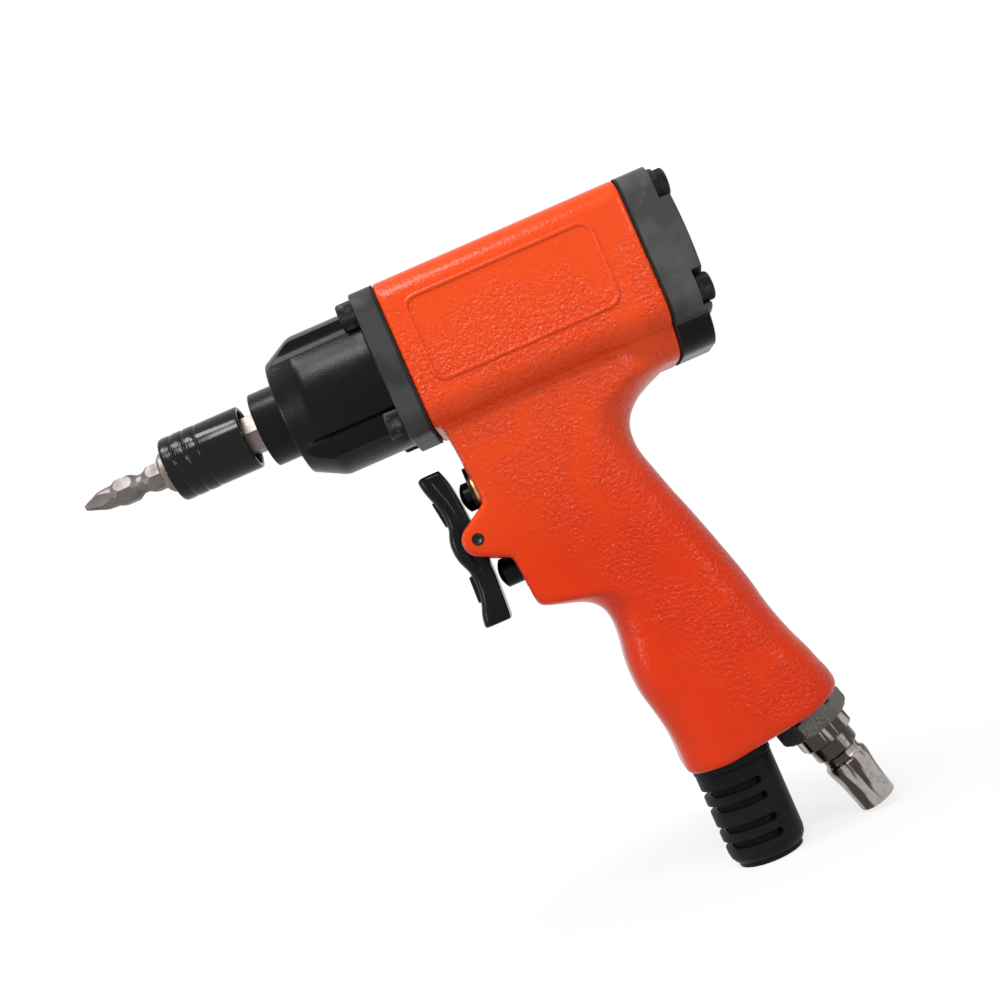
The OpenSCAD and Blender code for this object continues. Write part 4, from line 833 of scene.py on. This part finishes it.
# Hammer case
def make_case():
    """At each station the reach is the smaller of the turned profile and the nearest screw
    channel; angles crowd at the channels' edges, half an angle out by the cosine rule. The
    flange's reach is a rounded rectangle, and the bore runs back inside."""
    off, channel_r = 19.3, 3.92
    middles = np.arctan2(
        FRONT_SCREW_Z * np.array([-1, -1, 1, 1]), SCREW_Y * np.array([-1, 1, 1, -1]))
    t = np.linspace(-1, 1, 19)
    taper_x = -34.82 - np.linspace(0, 1, 12)[1:-1] * 6.1
    bend = np.linspace(-1.2, 1.2, 9)
    slope = 3.84 / 7.4
    profile = [(-27.2, 9.15), (-27.32, 9.4), (-27.55, 9.5), (-34.35, 9.5), (-34.52, 9.56),
               (-34.6, 9.75), (-34.6, 14.15), (-34.66, 14.38), (-34.82, 14.56)]
    profile += [(x, 14.56 + slope * (-34.82 - x)) for x in taper_x]
    profile += [(-42.2 - b, 18.4 - slope * (1.2 - b) ** 2 / 4.8) for b in bend]
    profile += [(x, 18.4) for x in (-46.0, -50.0, -54.0, -58.0)]
    profile += [(-60.15, 18.4), (-60.38, 18.45), (-60.52, 18.58), (-60.6, 18.8)]
    x, radius = columns(profile)
    cosine = (radius ** 2 + off ** 2 - channel_r ** 2) / (2 * radius * off)
    half = np.maximum(np.arccos(np.clip(cosine, -1, 1)), 0.05)
    edge = 0.1 / radius
    gaps = np.diff(np.append(middles, middles[0] + 2 * np.pi))
    share = np.linspace(0, 1, 36)[None, :]
    angle = np.hstack([np.hstack([
        m + (half - edge) * t[None, :],
        m + half + edge + (g - 2 * half - 2 * edge) * share]) for m, g in zip(middles, gaps)])
    channel = np.min([groove_reach(angle, m, off, channel_r) for m in middles], axis=0)
    rows = [around(x, np.minimum(radius, channel), angle)]
    last = angle[-1:]
    x, inset = columns([(-60.6, 0.35), (-60.72, 0.12), (-60.95, 0), (-65.8, 0), (-66.1, 0.2)])
    flange = box_reach(last, BODY_W / 2 - inset, BODY_H / 2 - inset, BODY_R - inset)
    rows.append(around(x, flange, last))
    x, bore = columns([(-66.1, 14.8), (-37.6, 14.8), (-37.6, 8.12), (-27.2, 8.12)])
    rows.append(around(x, bore, last))
    made = hollow("hammer_case", np.vstack(rows), "case")
    dressed(made, "hammer_case", "tool", 35.0)


# Rear cover
def make_cover():
    """Outline of the body scaled towards the middle over a shallow bowl, x = -141.6 plus 1.4
    times the square of the reach over 19; a lobe under it, and a pocket round each screw."""
    angle = full_turn(240)

    def back(reach):
        return COVER_BACK_X + 1.4 * (reach / 19.0) ** 2

    a = np.linspace(0, np.pi / 2, 5)
    inset = np.append(0.0, 0.7 * (1 - np.cos(a)))[:, None]
    lift = np.append(0.0, 0.7 * (1 - np.sin(a)))[:, None]
    rim = box_reach(angle, BODY_W / 2 - inset, BODY_H / 2 - inset, BODY_R - inset)
    x = back(rim) + lift
    x[0] = -129.8
    share = np.linspace(1, 0.04, 14)[1:, None]
    crown = rim[-1:] * share
    rows = np.vstack([around(x, rim, angle), around(back(crown), crown, angle)])
    body = lofted("cover", rows, "cover")
    x, inset = columns([(-129.8, 0), (-137.95, 0), (-138.27, 0.16), (-138.4, 0.45)])
    reach = box_reach(angle, LOBE_HALF_W - inset, LOBE_HALF_H - inset, LOBE_R - inset)
    lobe = lofted("lobe", around(x, reach, angle) - (0, 0, LOBE_HALF_H), "cover")
    x, reach = columns([
        (-130.4, 15.4), (-119.9, 15.4), (-119.5, 15.0), (-119.5, 12.45), (-130.4, 12.45)])
    spigot = hollow("spigot", around(x, reach, angle[:, ::2]), "cover")
    made = cut_or_melted(body, [lobe, spigot], "UNION")
    pockets = []
    for y in (-1, 1):
        for z in (-1, 1):
            seat = (-137.1, SCREW_Y * y, REAR_SCREW_Z * z)
            outline = [(5.2 * y, -4.2), (5.2 * y, 4.2 if z < 0 else 7.6)]
            if z > 0:
                outline += [(-4.2 * y, 7.6), (-4.2 * y, 0)]
            else:
                outline += [(0, 4.2)]
            t = np.linspace(0, 1, 14)[:, None]
            start = np.pi if z > 0 else np.pi / 2
            turn = start + t[:, 0] * (np.pi / 2 if z > 0 else np.pi)
            arc = 4.2 * np.stack([y * np.cos(turn), np.sin(turn)], -1)
            ring = np.vstack([outline, arc[1:]])
            floor = np.column_stack([np.zeros(len(ring)), ring]) + seat
            pockets.append(lofted("pocket", [floor, floor - (6.0, 0, 0)], "cover"))
    cut_or_melted(made, pockets)
    bevelled(made, 0.28, 50.0, False)
    dressed(made, "rear_cover", "tool", 32.0)


# Cap screws
def cap_screws(node, screw_z, head_x, side, shank):
    """Four cap screws turned about their own axes: the head's reach is 3.5 less a wave of fine
    ridges, and the hexagonal socket goes in from its top. Heads point along side in X."""
    ridges = 44
    angle = full_turn(6 * ridges)
    wave = 0.09 * (1 - np.cos(ridges * angle))
    t, reach, ridged = columns([
        (-shank, 1.7, 0), (0.3 - shank, 2.0, 0), (0, 2.0, 0), (0, 3.3, 0), (0.12, 3.44, 0.4),
        (0.22, 3.5, 1), (3.4, 3.5, 1), (3.6, 3.42, 0.5), (3.85, 3.2, 0), (3.97, 3.0, 0),
        (4.0, 2.8, 0)])
    head = around(t, reach - ridged * wave, angle)
    t, across = columns([(4.0, 3.35), (3.88, 3.0), (2.0, 3.0)])
    socket = around(t, hex_reach(angle, across), angle)
    rows = np.vstack([head, socket]) * (side, 1, 1)
    parts = [lofted("screw", rows + (head_x, y, z), "screw")
             for y in (-SCREW_Y, SCREW_Y) for z in (-screw_z, screw_z)]
    dressed(joined(node, parts), node, "tool", 38.0)


# Bit and sleeve
def make_bit():
    """Turned profile cut to a hexagon, with four round flutes that run out up each point; the
    reach is the smallest of the three at each distance from the nearer end."""
    front_x, rear_x, flute_len = 21.3, -23.7, 9.0
    u_front = np.arange(0, 22.41, 0.2)
    u_rear = np.arange(22.0, -0.01, -0.4)
    u = np.concatenate([u_front, u_rear])[:, None]
    x = np.concatenate([front_x - u_front, rear_x + u_rear])[:, None]
    table = np.array([
        (0, 0.5), (0.35, 0.85), (4.2, 2.55), (5.0, 2.72), (8.0, 2.75), (9.8, 3.67), (12.9, 3.67),
        (14.9, 2.45), (15.7, 2.42), (16.3, 2.45), (18.4, 3.67), (22.5, 3.67)])
    shift = np.linspace(-0.25, 0.25, 5)
    turned = np.mean([np.interp(np.abs(u + s), table[:, 0], table[:, 1]) for s in shift], axis=0)
    angle = full_turn(144)
    reach = np.minimum(turned, hex_reach(angle + np.pi / 6, 6.35))
    for k in range(4):
        flute = groove_reach(angle, k * np.pi / 2, 3.45 + 0.2493 * u, 2.7)
        reach = np.minimum(reach, np.where(u < flute_len, flute, 1e9))
    made = lofted("bit", around(x, reach, angle), "bit")
    dressed(made, "driver_bit", "anvil", 28.0)


def make_sleeve():
    """Turned sleeve: three bands, each a shallow sine crown between narrow rounded grooves,
    then a plain skirt; inside, the recess, the land over the balls and the hollow skirt."""
    d = np.arange(0.75, 11.3, 0.12)
    grooves = np.array([3.1, 6.35, 9.6])
    crown = 0.09 * np.sin(np.pi * np.clip((d + 0.15) / 3.25 % 1.0, 0, 1)) * (d < 9.6)
    cut = 0.17 * np.exp(-((d[:, None] - grooves) / 0.24) ** 2).sum(1)
    outer = [(0, 7.75), (0.06, 7.95), (0.2, 8.1), (0.42, 8.19)]
    outer += np.column_stack([d, 8.2 + crown - cut]).tolist()
    outer += [(12.0, 8.2), (20.4, 8.2), (20.75, 8.14), (20.93, 8.0), (21.0, 7.8)]
    inner = [(21.0, 7.35), (20.9, 7.12), (20.6, 7.0), (9.11, 7.0), (9.11, 5.2), (3.92, 5.2),
             (3.92, 6.4), (0.2, 6.4), (0, 6.6)]
    depth, reach = columns(outer + inner)
    made = hollow("sleeve", around(-2.4 - depth, reach, full_turn(128)), "sleeve")
    dressed(made, "chuck_sleeve", "sleeve", 38.0)


# Trigger
TRIGGER_SHARES = [
    (0.955, 0.95, 0.290, 0.90), (0.917, 1.00, 0.253, 0.98), (0.805, 0.96, 0.169, 1),
    (0.683, 0.87, 0.120, 1), (0.590, 0.79, 0.096, 1), (0.468, 0.73, 0.066, 1),
    (0.341, 0.71, 0.036, 1), (0.259, 0.73, 0.018, 1), (0.170, 0.81, 0.000, 1),
    (0.110, 0.85, -0.006, 1), (0.039, 0.87, -0.012, 1), (-0.059, 0.86, -0.018, 1),
    (-0.140, 0.82, -0.021, 1), (-0.215, 0.75, -0.024, 1), (-0.312, 0.66, -0.024, 1),
    (-0.459, 0.64, -0.018, 1), (-0.605, 0.66, -0.006, 1), (-0.727, 0.73, 0.006, 1),
    (-0.840, 0.83, 0.024, 1), (-0.966, 0.88, 0.048, 0.98), (-1.000, 0.84, 0.084, 0.90),
]
ARM_LEN, TRIGGER_T, TRIGGER_HALF_W = 20.5, 8.3, 7.5


def on_pin(name, half_len, radius, count):
    """Cylinder round the trigger's pin."""
    return rod_between(
        name, (PIN_X, -half_len, PIN_Z), (PIN_X, half_len, PIN_Z), radius, "trigger", count)


def make_trigger():
    """Plan outlines up the trigger: a wide curve on the finger side, a flat side with a thin
    raised line round a shallow panel, and a square back. The panel's depth follows the
    distance to its border; two pads, the pin's boss and its hole come last."""
    height, front, rear, half = (c[:, None] for c in smooth_between(TRIGGER_SHARES, 6).T)
    z = PIN_Z + height * ARM_LEN
    front, rear = PIN_X + front * TRIGGER_T, PIN_X + rear * TRIGGER_T
    half = np.minimum(half, 1.0) * TRIGGER_HALF_W
    wide, tight = 2.6, 0.6
    a = np.linspace(0, np.pi / 2, 11)[None, :]
    b = np.linspace(np.pi / 2, np.pi, 6)[None, :]
    share = np.linspace(0, 1, 26)[None, 1:-1]
    side_x = (front - wide) + ((rear + tight) - (front - wide)) * share
    to_end = np.minimum(z.max() - z, z - z.min()) - 1.5
    border = np.minimum(
        np.minimum((front - wide) - side_x - 0.3, side_x - (rear + tight) - 0.35), to_end)
    panel = 0.08 * np.exp(-(border / 0.16) ** 2) - 0.09 * np.clip((border - 0.1) / 0.6, 0, 1)
    x = np.hstack([front - wide + wide * np.cos(a), side_x, rear + tight + tight * np.cos(b)])
    y = np.hstack([half - wide + wide * np.sin(a), half + panel, half - tight + tight * np.sin(b)])
    x, y = np.hstack([x, x[:, ::-1]]), np.hstack([y, -y[:, ::-1]])
    made = lofted("trigger", np.stack([x, y, np.broadcast_to(z, x.shape)], -1), "trigger")
    extra = [on_pin("boss", TRIGGER_HALF_W, 3.0, 72)]
    for middle, face, length, lean in ((0.47, 0.83, 0.34, 8.0), (-0.52, 0.76, 0.34, -2.0)):
        length *= ARM_LEN
        rows = []
        for t, inset in (
                (-0.5, 0.35), (-0.48, 0.1), (-0.44, 0), (0.44, 0), (0.48, 0.1), (0.5, 0.35)):
            ring = rounded_ring(-inset, -1.66, 4.5 - inset, 0.4, 0.2, 6)
            rows.append(np.column_stack([ring, np.full(len(ring), t * length)]))
        rows = np.asarray(rows)
        c, s = math.cos(math.radians(lean)), math.sin(math.radians(lean))
        turned = np.stack([rows[..., 0] * c + rows[..., 2] * s, rows[..., 1],
                           rows[..., 2] * c - rows[..., 0] * s], -1)
        place = (PIN_X + face * TRIGGER_T, 0, PIN_Z + middle * ARM_LEN)
        extra.append(lofted("pad", turned + place, "trigger"))
    cut_or_melted(made, extra, "UNION")
    cut_or_melted(made, [on_pin("pin_way", 9, PIN_HOLE_R, 48)])
    dressed(made, "trigger", "trigger", 40.0)


# Air inlet
def below_seat(depth, reach, angle):
    """Points round the inlet's own axis, at a depth under the grip's sloping end."""
    depth, reach, angle = (v[..., None] for v in np.broadcast_arrays(depth, reach, angle))
    return (INLET_SEAT + depth * INLET_DOWN
            + reach * (np.sin(angle) * np.array([0, 1.0, 0]) + np.cos(angle) * INLET_SIDE))


def make_inlet():
    """Adapter and plug: a hexagon whose corners are cut by cones, and turned rings below."""
    angle = full_turn(144)
    depth, corner, flat = columns([
        (0.8, 9.0, 17.0), (1.3, 9.6, 17.0), (1.7, 9.82, 17.0), (4.6, 9.82, 17.0),
        (5.15, 9.5, 17.0), (5.6, 8.7, 16.8)])
    hexagon = below_seat(depth, np.minimum(corner, hex_reach(angle + np.pi / 2, flat)), angle)
    depth, reach = columns([
        (5.6, 4.86), (-1.4, 4.86), (-1.4, 3.5), (-9.0, 3.5), (-9.0, 5.05), (-10, 5.05), (-10, 6.1),
        (-9.7, 6.4), (0.8, 6.4)])
    adapter = hollow("adapter", np.vstack([hexagon, below_seat(depth, reach, angle)]), "adapter")
    dressed(adapter, "inlet_adapter", "tool", 24.0)

    plug_turn = 0.38
    depth, corner, flat = columns([
        (5.62, 6.9, 13.4), (5.8, 7.45, 13.4), (9.2, 7.45, 13.4), (9.6, 7.1, 13.4),
        (9.8, 6.4, 13.2)])
    flats = hex_reach(angle + np.pi / 2 + plug_turn, flat)
    hexagon = below_seat(depth, np.minimum(corner, flats), angle)
    depth, reach = columns([
        (9.8, 5.75), (10.0, 5.95), (13.1, 5.95), (13.5, 5.8), (13.95, 5.2), (14.3, 4.95),
        (15.4, 4.9), (15.9, 5.1), (16.35, 5.6), (16.7, 5.8), (17.7, 5.82), (18.4, 5.75),
        (20.0, 5.5), (22.5, 5.18), (25.5, 5.03), (29.2, 4.95), (29.5, 4.85), (29.6, 4.65),
        (29.6, 3.25), (29.35, 3.0), (-1.0, 3.0), (-1.0, 4.6), (-0.8, 4.8), (5.62, 4.8)])
    plug = hollow("plug", np.vstack([hexagon, below_seat(depth, reach, angle)]), "plug")
    dressed(plug, "inlet_plug", "tool", 24.0)


make_case()
make_cover()
cap_screws("front_screws", FRONT_SCREW_Z, -60.6, 1, 18.1)
cap_screws("rear_screws", REAR_SCREW_Z, -137.1, -1, 19.9)
make_bit()
make_sleeve()
make_trigger()
make_inlet()


# Eased CAD shells
EASED = {
    "muffler_body": (0.12, "muffler", "tool", "black_plastic"),
    "muffler_cap": (0.2, "muffler", "tool", "black_plastic"),
    "anvil": (0.1, "chuck", "anvil", "bright_steel"),
}
for name, (width, finish, body, slot) in EASED.items():
    piece = eased(name, width, finish)
    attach(piece, body)
    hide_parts(name)


# Springs
# For each: the body it stands on, the body that presses it, and the X of those two ends
SPRINGS = {
    "chuck_spring": ("anvil", "sleeve", -19.35, -11.56),
    "upper_valve_spring": ("tool", "upper_valve", -79.28, -73.37),
    "lower_valve_spring": ("tool", "lower_valve", -81.91, -75.99),
}
for name, (standing, pressing, still_x, pressed_x) in SPRINGS.items():
    coil = placed(name + "_coil", nodes[name].data.copy())
    coil.data.shade_smooth()
    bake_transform(coil)
    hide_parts(name)


# Floor and light
SKY = 0.17
FLOOR_REACH, FLOOR_GAP = 6000.0, 0.1
# Metres from the middle of the floor where it starts to turn white, and where it is white
FLOOR_LIT, FLOOR_WHITE = 0.06, 0.17


def make_floor():
    """Wide pale floor under the tool. Close to the tool the camera sees it lit, with its
    shadow; further out it goes over to the white of the background."""
    f = Finish("pale_floor")
    seen = f.seen()
    centred = f.node("ShaderNodeMapping", {}, {"Vector": f.place(), "Location": (0.1, 0.0, 0.0)})
    off = f.node("ShaderNodeVectorMath", {"operation": "LENGTH"}, {0: centred}, out=1)
    far = f.ramp(off, FLOOR_LIT, FLOOR_WHITE)
    pale = f.node("ShaderNodeBsdfDiffuse", {}, {
        "Color": f.mix(seen, (0.75, 0.75, 0.75), (0.95, 0.95, 0.95))})
    white = f.node("ShaderNodeEmission", {}, {"Color": WHITE, "Strength": 1.0})
    material = f.end(f.node("ShaderNodeMixShader", {}, {0: far * seen, 1: pale, 2: white}))
    z = cad_box[0][2] / MM - FLOOR_GAP
    mesh = bpy.data.meshes.new("floor")
    mesh.from_pydata(
        [(x * FLOOR_REACH * MM, y * FLOOR_REACH * MM, z * MM)
         for x, y in ((-1, -1), (1, -1), (1, 1), (-1, 1))], [], [(0, 1, 2, 3)])
    mesh.materials.append(material)
    placed("floor", mesh)


def make_world():
    """White to the camera, in mirrors and through glass; a plain grey sky to all other rays."""
    f = Finish("studio", world=True)
    sky = f.node("ShaderNodeBackground", {}, {"Color": WHITE, "Strength": SKY})
    back = f.node("ShaderNodeBackground", {}, {"Color": WHITE, "Strength": 1.0})
    both = f.node("ShaderNodeMixShader", {}, {0: f.seen(), 1: sky, 2: back})
    bpy.context.scene.world = f.end(both)


def softbox(name, at_mm, size_mm, watts):
    """Rectangular area light at a place, turned to the middle of the tool."""
    data = bpy.data.lights.new(name, "AREA")
    data.shape = "RECTANGLE"
    data.size, data.size_y = size_mm[0] * MM, size_mm[1] * MM
    data.energy = watts
    lamp = placed(name, data)
    target = Vector((-80, 0, -60)) * MM
    place = Vector(at_mm) * MM
    lamp.matrix_world = (Matrix.Translation(place)
                         @ (target - place).to_track_quat("-Z", "Y").to_matrix().to_4x4())


make_floor()
make_world()
softbox("key_above", (110, 215, 560), (320, 120), 2.4)
softbox("front_left", (600, 210, 60), (30, 180), 0.9)
softbox("rear_right", (-430, 500, 120), (60, 130), 0.9)
softbox("over_camera", (-20, 430, 430), (240, 140), 2.2)

bpy.context.scene.view_settings.view_transform = "Standard"
